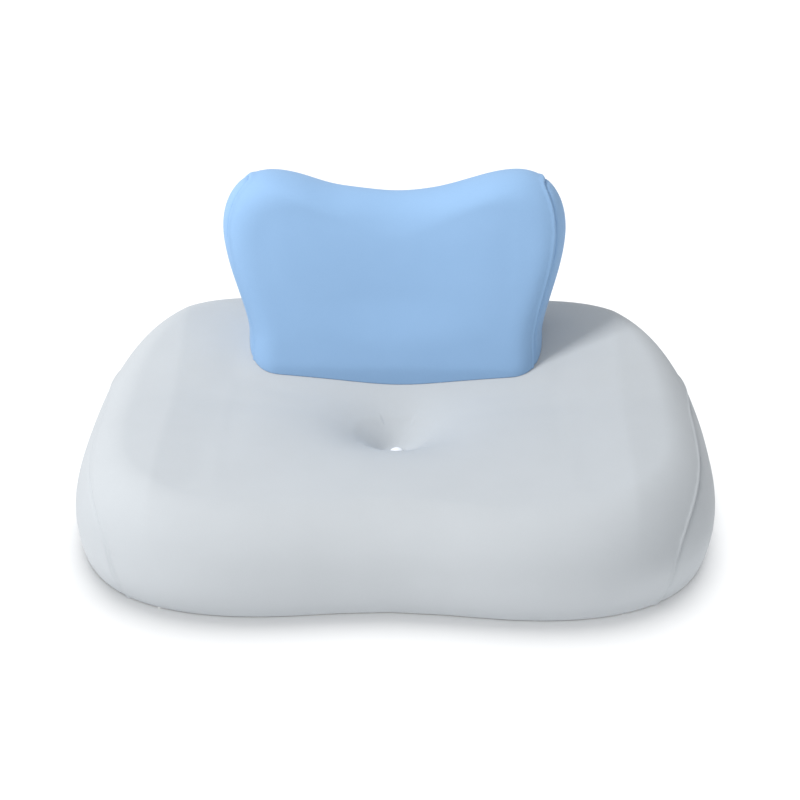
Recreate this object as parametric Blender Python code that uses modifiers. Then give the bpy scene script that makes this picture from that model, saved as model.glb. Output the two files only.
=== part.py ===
"""A legless floor seat: a tufted oval seat cushion and a back cushion whose steel hoop plugs into it.

Metres, +Z up, front towards -Y. The origin is on the floor, under the middle of the seat.
"""

import math

import bmesh
import bpy
from mathutils import Matrix, Vector
from mathutils.geometry import interpolate_bezier

# Seat cushion
SEAT_WIDTH = 0.700
SEAT_FRONT_REACH = 0.258  # from the widest line to the front edge
SEAT_REAR_REACH = 0.272
WIDEST_LINE_Y = -0.0075
FRONT_SQUARENESS = 4.2  # exponents of the plan outline: 2 is an ellipse, more is squarer
REAR_SQUARENESS = 3.3
FRONT_FULLNESS = 2.8
REAR_FULLNESS = 2.6
FRONT_NOTCH = 0.016  # how far the front edge dips in at the middle
REAR_NOTCH = 0.005
NOTCH_REACH = 0.115
RIM_HEIGHT = 0.038  # height of the widest contour
TUCK = 0.020  # how far the underside draws in below the rim
UNDERSIDE = -0.008  # where the rounded side would close, below the floor that cuts it off
FRONT_CROWN = 0.098
REAR_RISE = 0.044
SIDE_RISE = 0.016
EDGE_ROUND = (0.058, 0.078)  # breadth of the rounded shoulder at the ends and rear, and at the front
SHOULDER_SHAPE = (1.9, 1.9)  # inner and outer exponents
TUFT_DEPTH = 0.046
TUFT_REACH = (0.044, 0.036, 0.040)  # sideways, forwards, backwards
TUFT_FLOOR = 0.0118  # radius of the level patch under the button
TUFT_SHARPNESS = 1.15  # exponent of the dimple's wall: lower is more of a cone
RISE_STARTS_Y = 0.010
RISE_DEPTH = 0.200
SIDE_RISE_REACH = 0.250
SIDE_RISE_SHAPE = 2.5  # exponent of the rise towards the ends
RINGS_TO_EDGE = 1.40  # exponents over 1 crowd the rings towards the middle

# Covers and base
CLOTH = 0.0015
GAP = 0.0003
BASE_CLOTH = 0.0017
GUSSET_ARCH = (0.218, 0.095)  # half breadth and height of the seat's D-shaped side panel
ARCH_SQUARENESS = 3.5  # exponent of the arch: 2 is an ellipse
GUSSET_INNER_X = 0.230
ARCH_FOOT = 0.2  # how far an arch cutter reaches below its springing line
ARCH_LENGTH = 0.3
ARCH_SEGMENTS = 48

# Tuft
BUTTON_RADIUS = 0.0075
BUTTON_HEIGHT = 0.0055
BUTTON_SHANK = (0.0030, 0.0040)  # radius and length
CORD_RADIUS = 0.0013
WASHER = (0.013, 0.0025)

# Base board, sockets and screws
BOARD = (0.340, 0.170, 0.010)
BOARD_RADIUS = 0.025
BOARD_MARGIN = 0.012  # the least foam behind the board
LEG_SPACING = 0.200
LEG_Y = 0.126
TUBE_RADIUS = 0.008
SOCKET_WALL = 0.0025
SOCKET_HEIGHT = 0.058
SOCKET_CLEARANCE = 0.0004
FLANGE = (0.026, 0.003)
SCREW_CIRCLE = 0.0185
SCREW_HEAD = (0.0036, 0.0020)
SCREW_SHANK = (0.0017, 0.0085)
SCREW_TIP = 0.0012
SCREW_HOLE_TOP = 0.05
SCREWS_PER_SOCKET = 4
CHANNEL_CLEARANCE = 0.0010
CHANNEL_HEIGHTS = (0.01, 0.19)
ROOM_FLOOR = 0.004  # where the room for a socket starts, inside the board's pocket

# Back cushion
BACK_OUTLINE = (  # x, z, and the handle's direction in degrees and length, from the dip to the foot
    (0.000, 0.303, 0, 0.052),
    (0.141, 0.326, 0, 0.032),
    (0.194, 0.264, -90, 0.036),
    (0.169, 0.142, -90, 0.030),
    (0.156, 0.050, 180, 0.010),
    (0.000, 0.046, 180, 0.050),
)
BACK_CENTRE_Z = 0.205
BACK_FOOT_Z = 0.120
BACK_FOOT_THICKNESS = 0.104
BACK_TOP_THICKNESS = 0.074
BACK_LEAN = math.radians(8)
BACK_EDGE_ROUND = (0.060, 0.050)  # of the front and rear edges
BACK_SHOULDER_SHAPE = (2.8, 2.0)
BACK_HOLLOW = 0.010  # how far the front face is dished
HOLLOW_REACH = (0.100, 0.080)  # sideways and upwards
BACK_RINGS_TO_EDGE = 1.5
BACK_GUSSET_HALF = 0.034
BACK_GUSSET_TOP = 0.320
BACK_GUSSET_INNER_X = 0.141
HOOP_TOP_Z = 0.262
HOOP_BENDS = (0.060, 0.040)  # radius of the knee and of the upper corners

# Zips: length along X, and height of the middle line
SEAT_ZIP = (0.230, 0.046)
BACK_ZIP = (0.210, 0.172)
ZIP_TAPE = (0.014, 0.0010)  # breadth and thickness
ZIP_CHAIN = (0.0046, 0.0014)
ZIP_SUNK = 0.0012  # how far the chain's foot lies below the cover
ZIP_STOP = (0.0030, 0.0016, 0.0070)
SLIDER = (0.0090, 0.0080, 0.0012)  # along the chain, across it, and its plate
BRIDGE = (0.0070, 0.0020, 0.0010, 0.0021)  # length, breadth, strap and clear height
PULL = (0.0240, 0.0062, 0.0012)
PULL_WINDOW = (0.0078, 0.0032)

SPOKES = 40
RINGS = 26
BACK_RINGS = 16
OUTLINE_STEPS = 4


# Helpers

def make_collection(name):
    made = bpy.data.collections.new(name)
    bpy.context.scene.collection.children.link(made)
    return made


def make_material(name, color, roughness, metallic=0.0):
    made = bpy.data.materials.new(name)
    made.use_nodes = True
    shader = made.node_tree.nodes["Principled BSDF"]
    shader.inputs["Base Color"].default_value = (*color, 1)
    shader.inputs["Roughness"].default_value = roughness
    shader.inputs["Metallic"].default_value = metallic
    made.diffuse_color = (*color, 1)
    return made


def add_mesh(name, bm, material=None):
    """An object in the assembly, or a hidden cutter where no material is given."""
    mesh = bpy.data.meshes.new(name)
    bm.to_mesh(mesh)
    bm.free()
    made = bpy.data.objects.new(name, mesh)
    if material:
        assembly.objects.link(made)
        mesh.materials.append(material)
    else:
        cutters.objects.link(made)
        made.hide_render = True
        made.display_type = "WIRE"
    return made


def box(name, size, centre, material=None, radius=0.0):
    """A box, with its upright edges rounded where a radius is given."""
    bm = bmesh.new()
    bmesh.ops.create_cube(bm, size=1)
    bmesh.ops.scale(bm, vec=size, verts=bm.verts)
    if radius:
        upright = [e for e in bm.edges if abs(e.verts[0].co.z - e.verts[1].co.z) > size[2] / 2]
        bmesh.ops.bevel(bm, geom=upright, offset=radius, segments=5, affect="EDGES")
    made = add_mesh(name, bm, material)
    made.location = centre
    return made


def cylinder(name, radius, low, high, centre, material=None, segments=24):
    bm = bmesh.new()
    bmesh.ops.create_cone(
        bm, cap_ends=True, segments=segments, radius1=radius, radius2=radius, depth=high - low
    )
    made = add_mesh(name, bm, material)
    made.location = (centre[0], centre[1], (low + high) / 2)
    return made


def turned(name, profile, centre, material=None, steps=24, closed=False):
    """A profile of (radius, height) points, from the top down its outer side, turned about Z."""
    bm = bmesh.new()
    verts = [bm.verts.new((radius, 0, height)) for radius, height in profile]
    for start, end in zip(verts, verts[1:]):
        bm.edges.new((start, end))
    if closed:
        bm.edges.new((verts[-1], verts[0]))
    made = add_mesh(name, bm, material)
    screw = made.modifiers.new("turn", "SCREW")
    screw.axis = "Z"
    screw.steps = steps
    screw.render_steps = steps
    screw.use_merge_vertices = True
    screw.merge_threshold = 0.0001
    made.location = centre
    return made


def boolean(target, tool, operation="DIFFERENCE"):
    made = target.modifiers.new(tool.name, "BOOLEAN")
    made.object = tool
    made.operation = operation
    made.solver = "EXACT"


def solidify(target, thickness):
    made = target.modifiers.new("cloth", "SOLIDIFY")
    made.thickness = thickness
    made.offset = -1


def inset(bm, distance):
    """Moves the whole surface inwards along its normals."""
    bm.normal_update()
    for vert, normal in [(vert, vert.normal.copy()) for vert in bm.verts]:
        vert.co -= normal * distance


def smooth_step(value):
    value = min(max(value, 0.0), 1.0)
    return value * value * (3 - 2 * value)


def signed_power(value, power):
    return math.copysign(abs(value) ** power, value)


def shoulder(distance, breadth, inner, outer):
    """0 at the edge of a cushion and 1 where its rounded shoulder ends.

    A higher inner exponent makes a smoother end, and a higher outer one a squarer edge.
    """
    left = 1 - min(max(distance / breadth, 0.0), 1.0)
    return (1 - left**inner) ** (1 / outer)


# Seat surface

def seat_edge(longitude):
    """A point of the widest contour, seen from above."""
    along, across = math.cos(longitude), math.sin(longitude)
    front = across < 0
    squareness = FRONT_SQUARENESS if front else REAR_SQUARENESS
    fullness = FRONT_FULLNESS if front else REAR_FULLNESS
    reach = SEAT_FRONT_REACH if front else SEAT_REAR_REACH
    x = SEAT_WIDTH / 2 * signed_power(along, 2 / squareness)
    y = reach * signed_power(across, 2 / fullness)
    notch = FRONT_NOTCH if front else -REAR_NOTCH
    return Vector((x, y + WIDEST_LINE_Y + notch * math.exp(-((x / NOTCH_REACH) ** 2)) * abs(across)))


def seat_crown(x, y):
    """Height of the seat's top, before its shoulder falls away."""
    sideways, forwards, backwards = TUFT_REACH
    away = max(1 - TUFT_FLOOR / max(math.hypot(x, y), TUFT_FLOOR), 0.0)
    reach = away * math.hypot(x / sideways, y / (forwards if y < 0 else backwards))
    rise = REAR_RISE * smooth_step((y - RISE_STARTS_Y) / RISE_DEPTH)
    rise += SIDE_RISE * min(abs(x) / SIDE_RISE_REACH, 1) ** SIDE_RISE_SHAPE
    return FRONT_CROWN + rise - TUFT_DEPTH * math.exp(-(reach**TUFT_SHARPNESS))


def seat_surface(low):
    """The open outer surface of the seat, from the tuft over the rim down to the given height."""
    bm = bmesh.new()
    bmesh.ops.create_uvsphere(bm, u_segments=SPOKES, v_segments=RINGS, radius=1)
    below = [vert for vert in bm.verts if vert.co.z < -math.sin(math.pi / 4) - 0.01]
    bmesh.ops.delete(bm, geom=below, context="VERTS")
    first_ring = math.sin(math.pi / RINGS)
    for vert in bm.verts:
        longitude = math.atan2(vert.co.y, vert.co.x)
        edge = seat_edge(longitude)
        if vert.co.z > -1e-4:
            # The first ring lies on the rim of the button's level patch, whatever the seat's size.
            outer = min(max((vert.co.xy.length - first_ring) / (1 - first_ring), 0.0), 1.0)
            patch = TUFT_FLOOR / edge.length
            share = patch + (1 - patch) * outer**RINGS_TO_EDGE if vert.co.xy.length > 1e-4 else 0.0
            x, y = edge * share
            frontward = max(-math.sin(longitude), 0.0) ** 2
            breadth = EDGE_ROUND[0] + (EDGE_ROUND[1] - EDGE_ROUND[0]) * frontward
            rounded = shoulder(edge.length * (1 - share), breadth, *SHOULDER_SHAPE)
            vert.co = (x, y, RIM_HEIGHT + (seat_crown(x, y) - RIM_HEIGHT) * rounded)
        else:
            turn = min(math.asin(-vert.co.z) * 2, math.pi / 2)
            drawn = edge - edge.normalized() * TUCK * (1 - math.cos(turn))
            vert.co = (*drawn, RIM_HEIGHT - (RIM_HEIGHT - low) * math.sin(turn))
    bmesh.ops.triangulate(bm, faces=bm.faces)
    return bm


def seat_solid(name, distance, low, material=None):
    """The seat's outer form drawn in by a distance, with its lower edge closed."""
    bm = seat_surface(low)
    inset(bm, distance)
    bmesh.ops.holes_fill(bm, edges=[e for e in bm.edges if e.is_boundary])
    return add_mesh(name, bm, material)


# Back surface

def back_outline():
    """The back cushion's front view, a closed loop of points."""
    knots = [(Vector((x, z)), math.radians(turn), length) for x, z, turn, length in BACK_OUTLINE]
    half = []
    for (start, turn_a, reach_a), (end, turn_b, reach_b) in zip(knots, knots[1:]):
        out = start + reach_a * Vector((math.cos(turn_a), math.sin(turn_a)))
        back = end - reach_b * Vector((math.cos(turn_b), math.sin(turn_b)))
        curve = interpolate_bezier(start, out, back, end, OUTLINE_STEPS + 1)
        half += [Vector(point[:2]) for point in curve[:-1]]
    half.append(knots[-1][0])
    return half + [Vector((-point.x, point.y)) for point in half[-2:0:-1]]


def back_faces(x, z):
    """Where the front and rear faces of the back cushion lie, before their edges round off."""
    climb = z - BACK_FOOT_Z
    middle = LEG_Y + math.tan(BACK_LEAN) * max(climb, 0.0)
    share = smooth_step(climb / (BACK_OUTLINE[1][1] - BACK_FOOT_Z))
    half = (BACK_FOOT_THICKNESS + (BACK_TOP_THICKNESS - BACK_FOOT_THICKNESS) * share) / 2
    dish = BACK_HOLLOW * math.exp(-((x / HOLLOW_REACH[0]) ** 2)) * smooth_step(climb / HOLLOW_REACH[1])
    return middle - half + dish, middle + half


def back_solid(name, distance, material=None):
    """The closed outer form of the back cushion: front pole, outline, rear pole."""
    outline = back_outline()
    bm = bmesh.new()
    bmesh.ops.create_uvsphere(bm, u_segments=len(outline), v_segments=BACK_RINGS, radius=1)
    centre = Vector((0, BACK_CENTRE_Z))
    for vert in bm.verts:
        # The sphere's pole axis becomes the cushion's depth, and its longitude runs round the outline.
        spoke = round(math.atan2(vert.co.x, vert.co.y) / math.tau * len(outline)) % len(outline)
        edge = outline[spoke] - centre
        share = min(vert.co.xy.length, 1.0) ** BACK_RINGS_TO_EDGE
        x, z = centre + edge * share
        front, rear = back_faces(x, z)
        face, breadth = (front, BACK_EDGE_ROUND[0]) if vert.co.z > 0 else (rear, BACK_EDGE_ROUND[1])
        rounded = shoulder(edge.length * (1 - share), breadth, *BACK_SHOULDER_SHAPE)
        vert.co = (x, (front + rear) / 2 + (face - (front + rear) / 2) * rounded, z)
    bmesh.ops.recalc_face_normals(bm, faces=bm.faces)
    bmesh.ops.triangulate(bm, faces=bm.faces)
    inset(bm, distance)
    return add_mesh(name, bm, material)


# Seat cushion

def build_seat():
    below = box("below_seat", (2, 2, 0.1), (0, 0, BASE_CLOTH + GAP - 0.05))
    core = seat_solid("seat_foam_core", CLOTH + GAP, UNDERSIDE, foam)
    boolean(core, below)
    arches = {
        side: arch_cutter(f"seat_arch_{side}", side, GUSSET_ARCH, GUSSET_INNER_X, 0.0, 0.0)
        for side in ("left", "right")
    }
    cover = add_mesh("seat_cover_main", seat_surface(UNDERSIDE), grey_cloth)
    solidify(cover, CLOTH)
    boolean(cover, below)
    for side, (wide, tight) in arches.items():
        gusset = add_mesh(f"seat_gusset_{side}", seat_surface(UNDERSIDE), grey_cloth)
        solidify(gusset, CLOTH)
        boolean(gusset, below)
        boolean(gusset, tight, "INTERSECT")
        boolean(cover, wide)
    base = seat_solid("seat_base_cloth", 0.0, UNDERSIDE, base_cloth)
    boolean(base, box("base_slab", (2, 2, BASE_CLOTH), (0, 0, BASE_CLOTH / 2)), "INTERSECT")
    return core, cover


def arch_cutter(name, side, arch, inner_x, middle_y, foot_z):
    """Two prisms along X with a squarish arch, one a hair wider than the other."""
    made = []
    for growth in (GAP / 2, -GAP / 2):
        bm = bmesh.new()
        bmesh.ops.create_circle(bm, cap_ends=True, segments=ARCH_SEGMENTS, radius=1)
        upper = (arch[0] + growth, arch[1] + growth)
        for vert in bm.verts:
            across, up = (signed_power(value, 2 / ARCH_SQUARENESS) for value in vert.co.xy)
            vert.co = (0, across * upper[0], up * (upper[1] if up > 0 else ARCH_FOOT))
        bmesh.ops.translate(bm, vec=(inner_x, middle_y, foot_z), verts=bm.verts)
        sides = bmesh.ops.extrude_face_region(bm, geom=bm.faces[:])["geom"]
        moved = [item for item in sides if isinstance(item, bmesh.types.BMVert)]
        bmesh.ops.translate(bm, vec=(ARCH_LENGTH, 0, 0), verts=moved)
        if side == "left":
            bmesh.ops.scale(bm, vec=(-1, 1, 1), verts=bm.verts)
        bmesh.ops.recalc_face_normals(bm, faces=bm.faces)
        made.append(add_mesh(f"{name}_{'wide' if growth > 0 else 'tight'}", bm))
    return made


def build_tuft(core, cover):
    seat_z = seat_crown(0, 0)
    shank_radius, shank_length = BUTTON_SHANK
    washer_radius, washer_height = WASHER
    rest = seat_z + GAP
    dome = [
        (BUTTON_RADIUS * math.sin(turn), rest + BUTTON_HEIGHT * (0.35 + 0.65 * math.cos(turn)))
        for turn in (math.pi / 2 * step / 6 for step in range(7))
    ]
    under = [(BUTTON_RADIUS, rest), (shank_radius, rest)]
    shank = [(shank_radius, rest - shank_length), (0, rest - shank_length)]
    turned("tuft_button", dome + under + shank, (0, 0, 0), white_plastic)
    low = BASE_CLOTH + GAP
    washer = [(0, low + washer_height), (washer_radius, low + washer_height), (washer_radius, low), (0, low)]
    turned("tuft_washer", washer, (0, 0, 0), white_plastic)
    cord_low = low + washer_height + GAP
    cord_high = rest - shank_length - GAP
    cylinder("tuft_cord", CORD_RADIUS, cord_low, cord_high, (0, 0), cord, segments=12)
    boolean(core, cylinder("washer_recess", washer_radius + GAP, -0.01, low + washer_height + GAP, (0, 0)))
    boolean(core, cylinder("cord_channel", CORD_RADIUS + GAP, -0.01, seat_z + 0.02, (0, 0), segments=12))
    shank_hole = cylinder("shank_hole", shank_radius + GAP, rest - shank_length - GAP, 0.2, (0, 0))
    boolean(core, shank_hole)
    boolean(cover, shank_hole)


def build_board_and_sockets(core, cover):
    """The board in the foam's underside, and the two flanged sockets screwed to it."""
    length, depth, thickness = BOARD
    room = SEAT_REAR_REACH + WIDEST_LINE_Y - TUCK - BOARD_MARGIN - LEG_Y
    depth = min(depth, 2 * room)
    low = BASE_CLOTH + GAP
    centre = (0, LEG_Y, low + thickness / 2)
    board = box("base_board", (length, depth, thickness), centre, plywood, BOARD_RADIUS)
    pocket_size = (length + 2 * GAP, depth + 2 * GAP, thickness + GAP + 0.02)
    pocket_centre = (0, LEG_Y, low + thickness + GAP - pocket_size[2] / 2)
    boolean(core, box("board_pocket", pocket_size, pocket_centre, None, BOARD_RADIUS + GAP))

    flange_radius, flange_height = FLANGE
    floor = low + thickness + GAP
    bore = TUBE_RADIUS + SOCKET_CLEARANCE
    outer = bore + SOCKET_WALL
    head_radius, head_height = SCREW_HEAD
    shank_radius, shank_length = SCREW_SHANK
    head_seat = floor + flange_height + GAP
    for side, x in (("left", -LEG_SPACING / 2), ("right", LEG_SPACING / 2)):
        profile = [
            (bore, floor + SOCKET_HEIGHT),
            (outer, floor + SOCKET_HEIGHT),
            (outer, floor + flange_height),
            (flange_radius, floor + flange_height),
            (flange_radius, floor),
            (bore, floor),
        ]
        socket = turned(f"socket_{side}", profile, (x, LEG_Y, 0), steel, 24, closed=True)
        for number in range(SCREWS_PER_SOCKET):
            turn = math.tau * (number + 0.5) / SCREWS_PER_SOCKET
            place = (x + SCREW_CIRCLE * math.cos(turn), LEG_Y + SCREW_CIRCLE * math.sin(turn))
            screw = [
                (0, head_seat + head_height),
                (head_radius * 0.6, head_seat + head_height),
                (head_radius, head_seat + head_height * 0.4),
                (head_radius, head_seat),
                (shank_radius, head_seat),
                (shank_radius, head_seat - shank_length),
                (0, head_seat - shank_length - SCREW_TIP),
            ]
            turned(f"screw_{side}_{number + 1}", screw, (*place, 0), steel, 8)
            hole_low = head_seat - shank_length - SCREW_TIP - GAP
            hole_name = f"screw_hole_{side}_{number + 1}"
            hole = cylinder(hole_name, shank_radius + GAP, hole_low, SCREW_HOLE_TOP, place, None, 8)
            boolean(socket, hole)
            boolean(board, hole)
        flange_top = head_seat + head_height + GAP
        flange_room = (flange_radius + GAP, ROOM_FLOOR, flange_top, (x, LEG_Y))
        boolean(core, cylinder(f"flange_room_{side}", *flange_room))
        socket_top = floor + SOCKET_HEIGHT + GAP
        boolean(core, cylinder(f"socket_room_{side}", outer + GAP, ROOM_FLOOR, socket_top, (x, LEG_Y)))
        channel_radius = TUBE_RADIUS + CHANNEL_CLEARANCE
        channel = cylinder(f"leg_channel_{side}", channel_radius, *CHANNEL_HEIGHTS, (x, LEG_Y))
        boolean(core, channel)
        boolean(cover, channel)
    return floor


# Back cushion

def rounded_path(corners, radii, steps):
    """The corner points of a bent tube, each inner corner replaced by an arc."""
    path = [corners[0]]
    for before, corner, after, radius in zip(corners, corners[1:], corners[2:], radii):
        to_before = (before - corner).normalized()
        to_after = (after - corner).normalized()
        half = to_before.angle(to_after) / 2
        centre = corner + (to_before + to_after).normalized() * radius / math.sin(half)
        start = (corner + to_before * radius / math.tan(half) - centre).normalized()
        end = (corner + to_after * radius / math.tan(half) - centre).normalized()
        path += [centre + start.slerp(end, step / steps) * radius for step in range(steps + 1)]
    return path + [corners[-1]]


def tube(name, path, radius, material=None):
    curve = bpy.data.curves.new(name, "CURVE")
    curve.dimensions = "3D"
    curve.bevel_depth = radius
    curve.bevel_resolution = 2
    curve.use_fill_caps = True
    spline = curve.splines.new("POLY")
    spline.points.add(len(path) - 1)
    for point, place in zip(spline.points, path):
        point.co = (*place, 1)
    made = bpy.data.objects.new(name, curve)
    if material:
        assembly.objects.link(made)
        curve.materials.append(material)
        return made
    cutters.objects.link(made)
    bpy.context.view_layer.update()
    solid = bpy.data.meshes.new_from_object(made.evaluated_get(bpy.context.evaluated_depsgraph_get()))
    bm = bmesh.new()
    bm.from_mesh(solid)
    bmesh.ops.remove_doubles(bm, verts=bm.verts, dist=0.00001)
    bmesh.ops.recalc_face_normals(bm, faces=bm.faces)
    bpy.data.objects.remove(made)
    return add_mesh(f"{name}_cutter", bm)


def hoop_path(leg_foot):
    """From the left leg's foot over the top to the right leg's, leaning with the cushion."""
    half = LEG_SPACING / 2
    knee_z = BACK_FOOT_Z + 0.03
    top_y = LEG_Y + math.tan(BACK_LEAN) * (HOOP_TOP_Z - knee_z)
    right = [
        Vector((half, top_y, HOOP_TOP_Z)),
        Vector((half, LEG_Y, knee_z)),
        Vector((half, LEG_Y, leg_foot)),
    ]
    left = [Vector((-corner.x, corner.y, corner.z)) for corner in reversed(right)]
    knee, upper = HOOP_BENDS
    return rounded_path(left + right, (knee, upper, upper, knee), 6)


def build_back(board_top):
    seat_lift = GAP * 2
    rest = seat_solid("seat_rest_low", 0.0, UNDERSIDE)
    rest.location.z = seat_lift
    lifted = seat_solid("seat_rest_high", 0.0, UNDERSIDE)
    lifted.location.z = seat_lift + CLOTH + GAP * 2
    foot = seat_solid("seat_rest_foot", 0.0, UNDERSIDE)
    foot.location.z = seat_lift + CLOTH

    core = back_solid("back_foam_core", CLOTH + GAP, foam)
    boolean(core, lifted)
    base = back_solid("back_base_cloth", CLOTH + 3 * GAP, base_cloth)
    boolean(base, foot, "INTERSECT")
    boolean(base, rest)

    cover = back_solid("back_cover_main", 0.0, blue_cloth)
    hollow = back_solid("back_hollow", CLOTH)
    boolean(cover, hollow)
    boolean(cover, rest)
    for side in ("left", "right"):
        wide, tight = arch_cutter(
            f"back_arch_{side}",
            side,
            (BACK_GUSSET_HALF, BACK_GUSSET_TOP - 0.05),
            BACK_GUSSET_INNER_X,
            LEG_Y,
            0.05,
        )
        for tool in (wide, tight):
            shear = Matrix.Shear("XZ", 4, (0, math.tan(BACK_LEAN)))
            tool.data.transform(
                Matrix.Translation((0, 0, BACK_FOOT_Z)) @ shear @ Matrix.Translation((0, 0, -BACK_FOOT_Z))
            )
        gusset = back_solid(f"back_gusset_{side}", 0.0, blue_cloth)
        boolean(gusset, hollow)
        boolean(gusset, rest)
        boolean(gusset, tight, "INTERSECT")
        boolean(cover, wide)

    path = hoop_path(board_top + GAP)
    tube("back_hoop", path, TUBE_RADIUS, steel)
    below = Vector((0, 0, -0.01))
    bore = tube("hoop_channel", [path[0] + below, *path[1:-1], path[-1] + below], TUBE_RADIUS + GAP)
    boolean(core, bore)
    boolean(base, bore)
    return core, cover


# Zips

def seat_rear_y(x):
    """The seat's rear edge at a distance from its middle."""
    along = (abs(x) * 2 / SEAT_WIDTH) ** (REAR_SQUARENESS / 2)
    return seat_edge(math.acos(along)).y


def build_zip(prefix, length, place, tilt, cover, core):
    """A closed zip along X in a slot of the cover, facing +Y: tape, chain, end stops, slider and pull."""
    turn = Matrix.Rotation(tilt, 3, "X")

    def piece(name, size, centre, material=None):
        made = box(name, size, Vector(place) + turn @ Vector(centre), material)
        made.rotation_euler.x = tilt
        return made

    tape_width, tape_thickness = ZIP_TAPE
    chain_width, chain_height = ZIP_CHAIN
    slot = (length + 2 * GAP, 0.030, tape_width + 2 * GAP)
    boolean(cover, piece(f"{prefix}_zip_slot", slot, (0, slot[1] / 2 - CLOTH - 0.005, 0)))
    boolean(core, piece(f"{prefix}_zip_room", slot, (0, slot[1] / 2 - tape_thickness - 2 * GAP, 0)))
    tape = (length, tape_thickness, tape_width)
    piece(f"{prefix}_zip_tape", tape, (0, -tape_thickness / 2 - GAP, 0), zip_cloth)
    chain = (length - 2 * (ZIP_STOP[0] + GAP), chain_height, chain_width)
    piece(f"{prefix}_zip_chain", chain, (0, chain_height / 2, 0), zip_cloth)
    for side, way in (("left", -1), ("right", 1)):
        stop_centre = (way * (length - ZIP_STOP[0]) / 2, ZIP_STOP[1] / 2, 0)
        piece(f"{prefix}_zip_stop_{side}", ZIP_STOP, stop_centre, zip_metal)

    # The slider rides over the chain as a saddle, and the pull's crossbar hangs under its bridge.
    slider_length, slider_width, plate = SLIDER
    bridge_length, bridge_width, strap, clear = BRIDGE
    x = (slider_length - chain[0]) / 2 + GAP
    saddle = chain_height + GAP
    top = saddle + plate
    slider = piece(f"{prefix}_zip_slider", (slider_length, top, slider_width), (x, top / 2, 0), zip_metal)
    groove = (1, 2 * saddle, chain_width + 2 * GAP)
    boolean(slider, piece(f"{prefix}_slider_groove", groove, (x, 0, 0)))
    bridge = (bridge_length, strap + clear + plate / 2, bridge_width)
    bridge_y = top + clear + strap - bridge[1] / 2
    boolean(slider, piece(f"{prefix}_slider_bridge", bridge, (x, bridge_y, 0)), "UNION")
    window = (bridge_length - 2 * strap, clear, 1)
    boolean(slider, piece(f"{prefix}_slider_window", window, (x, top + clear / 2, 0)))

    pull_length, pull_width, pull_thickness = PULL
    hinge_y = top + clear / 2
    pull = piece(f"{prefix}_zip_pull", (pull_length, pull_thickness, pull_width), (x, hinge_y, 0), zip_metal)
    pull.data.transform(Matrix.Translation(((pull_length - pull_thickness) / 2, 0, 0)))
    eye_x = x + (pull_thickness + PULL_WINDOW[0]) / 2
    boolean(pull, piece(f"{prefix}_pull_eye", (PULL_WINDOW[0], 1, PULL_WINDOW[1]), (eye_x, hinge_y, 0)))


def build():
    seat_core, seat_cover = build_seat()
    build_tuft(seat_core, seat_cover)
    board_top = build_board_and_sockets(seat_core, seat_cover)
    back_core, back_cover = build_back(board_top)

    length, height = SEAT_ZIP
    rear = min(seat_rear_y(0), seat_rear_y(length / 2)) - ZIP_SUNK
    build_zip("seat", length, (0, rear, height), 0.0, seat_cover, seat_core)
    length, height = BACK_ZIP
    rear = back_faces(0, height)[1]
    tilt = -math.atan2(back_faces(0, height + 0.001)[1] - rear, 0.001)
    build_zip("back", length, (0, rear - ZIP_SUNK, height), tilt, back_cover, back_core)

    lift = bpy.data.objects.new("back_lift", None)
    lift.location = (0, LEG_Y, board_top)
    assembly.objects.link(lift)
    bpy.context.view_layer.update()
    for made in assembly.objects:
        if made.name.startswith("back_") and made is not lift:
            made.parent = lift
            made.matrix_parent_inverse = lift.matrix_world.inverted()


for old in list(bpy.data.objects):
    bpy.data.objects.remove(old)
assembly = make_collection("floor_seat")
cutters = make_collection("cutters")

grey_cloth = make_material("grey_cloth", (0.62, 0.65, 0.68), 0.85)
blue_cloth = make_material("blue_cloth", (0.33, 0.53, 0.80), 0.85)
base_cloth = make_material("base_cloth", (0.16, 0.17, 0.18), 0.95)
foam = make_material("foam", (0.86, 0.82, 0.66), 0.95)
white_plastic = make_material("white_plastic", (0.87, 0.88, 0.90), 0.35)
cord = make_material("cord", (0.80, 0.80, 0.78), 0.9)
plywood = make_material("plywood", (0.60, 0.43, 0.26), 0.7)
steel = make_material("steel", (0.55, 0.56, 0.58), 0.35, 1.0)
zip_cloth = make_material("zip_cloth", (0.45, 0.47, 0.50), 0.7)
zip_metal = make_material("zip_metal", (0.60, 0.61, 0.63), 0.3, 1.0)

build()
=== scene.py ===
# %% [markdown]
# # A floor seat with a back cushion
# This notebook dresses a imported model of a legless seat: a wide tufted cushion, and a lobed
# back cushion that plugs into it on a steel hoop. Each step then adds a sewn, moulded or metal
# piece in the place of a plain one.

import math

import bmesh
import bpy
import numpy as np
from mathutils import Matrix, Vector
from mathutils.geometry import interpolate_bezier


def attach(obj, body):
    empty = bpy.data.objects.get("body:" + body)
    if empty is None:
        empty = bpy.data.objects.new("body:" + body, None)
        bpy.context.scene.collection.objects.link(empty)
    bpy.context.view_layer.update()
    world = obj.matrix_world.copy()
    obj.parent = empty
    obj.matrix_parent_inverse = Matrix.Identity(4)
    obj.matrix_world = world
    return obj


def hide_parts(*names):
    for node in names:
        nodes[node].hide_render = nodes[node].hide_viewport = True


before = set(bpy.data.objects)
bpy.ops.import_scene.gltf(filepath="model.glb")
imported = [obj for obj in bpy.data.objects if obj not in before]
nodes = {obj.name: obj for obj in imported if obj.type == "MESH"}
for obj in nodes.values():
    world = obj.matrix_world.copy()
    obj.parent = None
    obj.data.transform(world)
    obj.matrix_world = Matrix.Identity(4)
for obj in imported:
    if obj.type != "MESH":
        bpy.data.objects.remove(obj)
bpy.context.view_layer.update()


def in_scene(name, data):
    """A new object in the scene for a mesh, a lamp or the camera."""
    made = bpy.data.objects.new(name, data)
    bpy.context.collection.objects.link(made)
    return made


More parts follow.
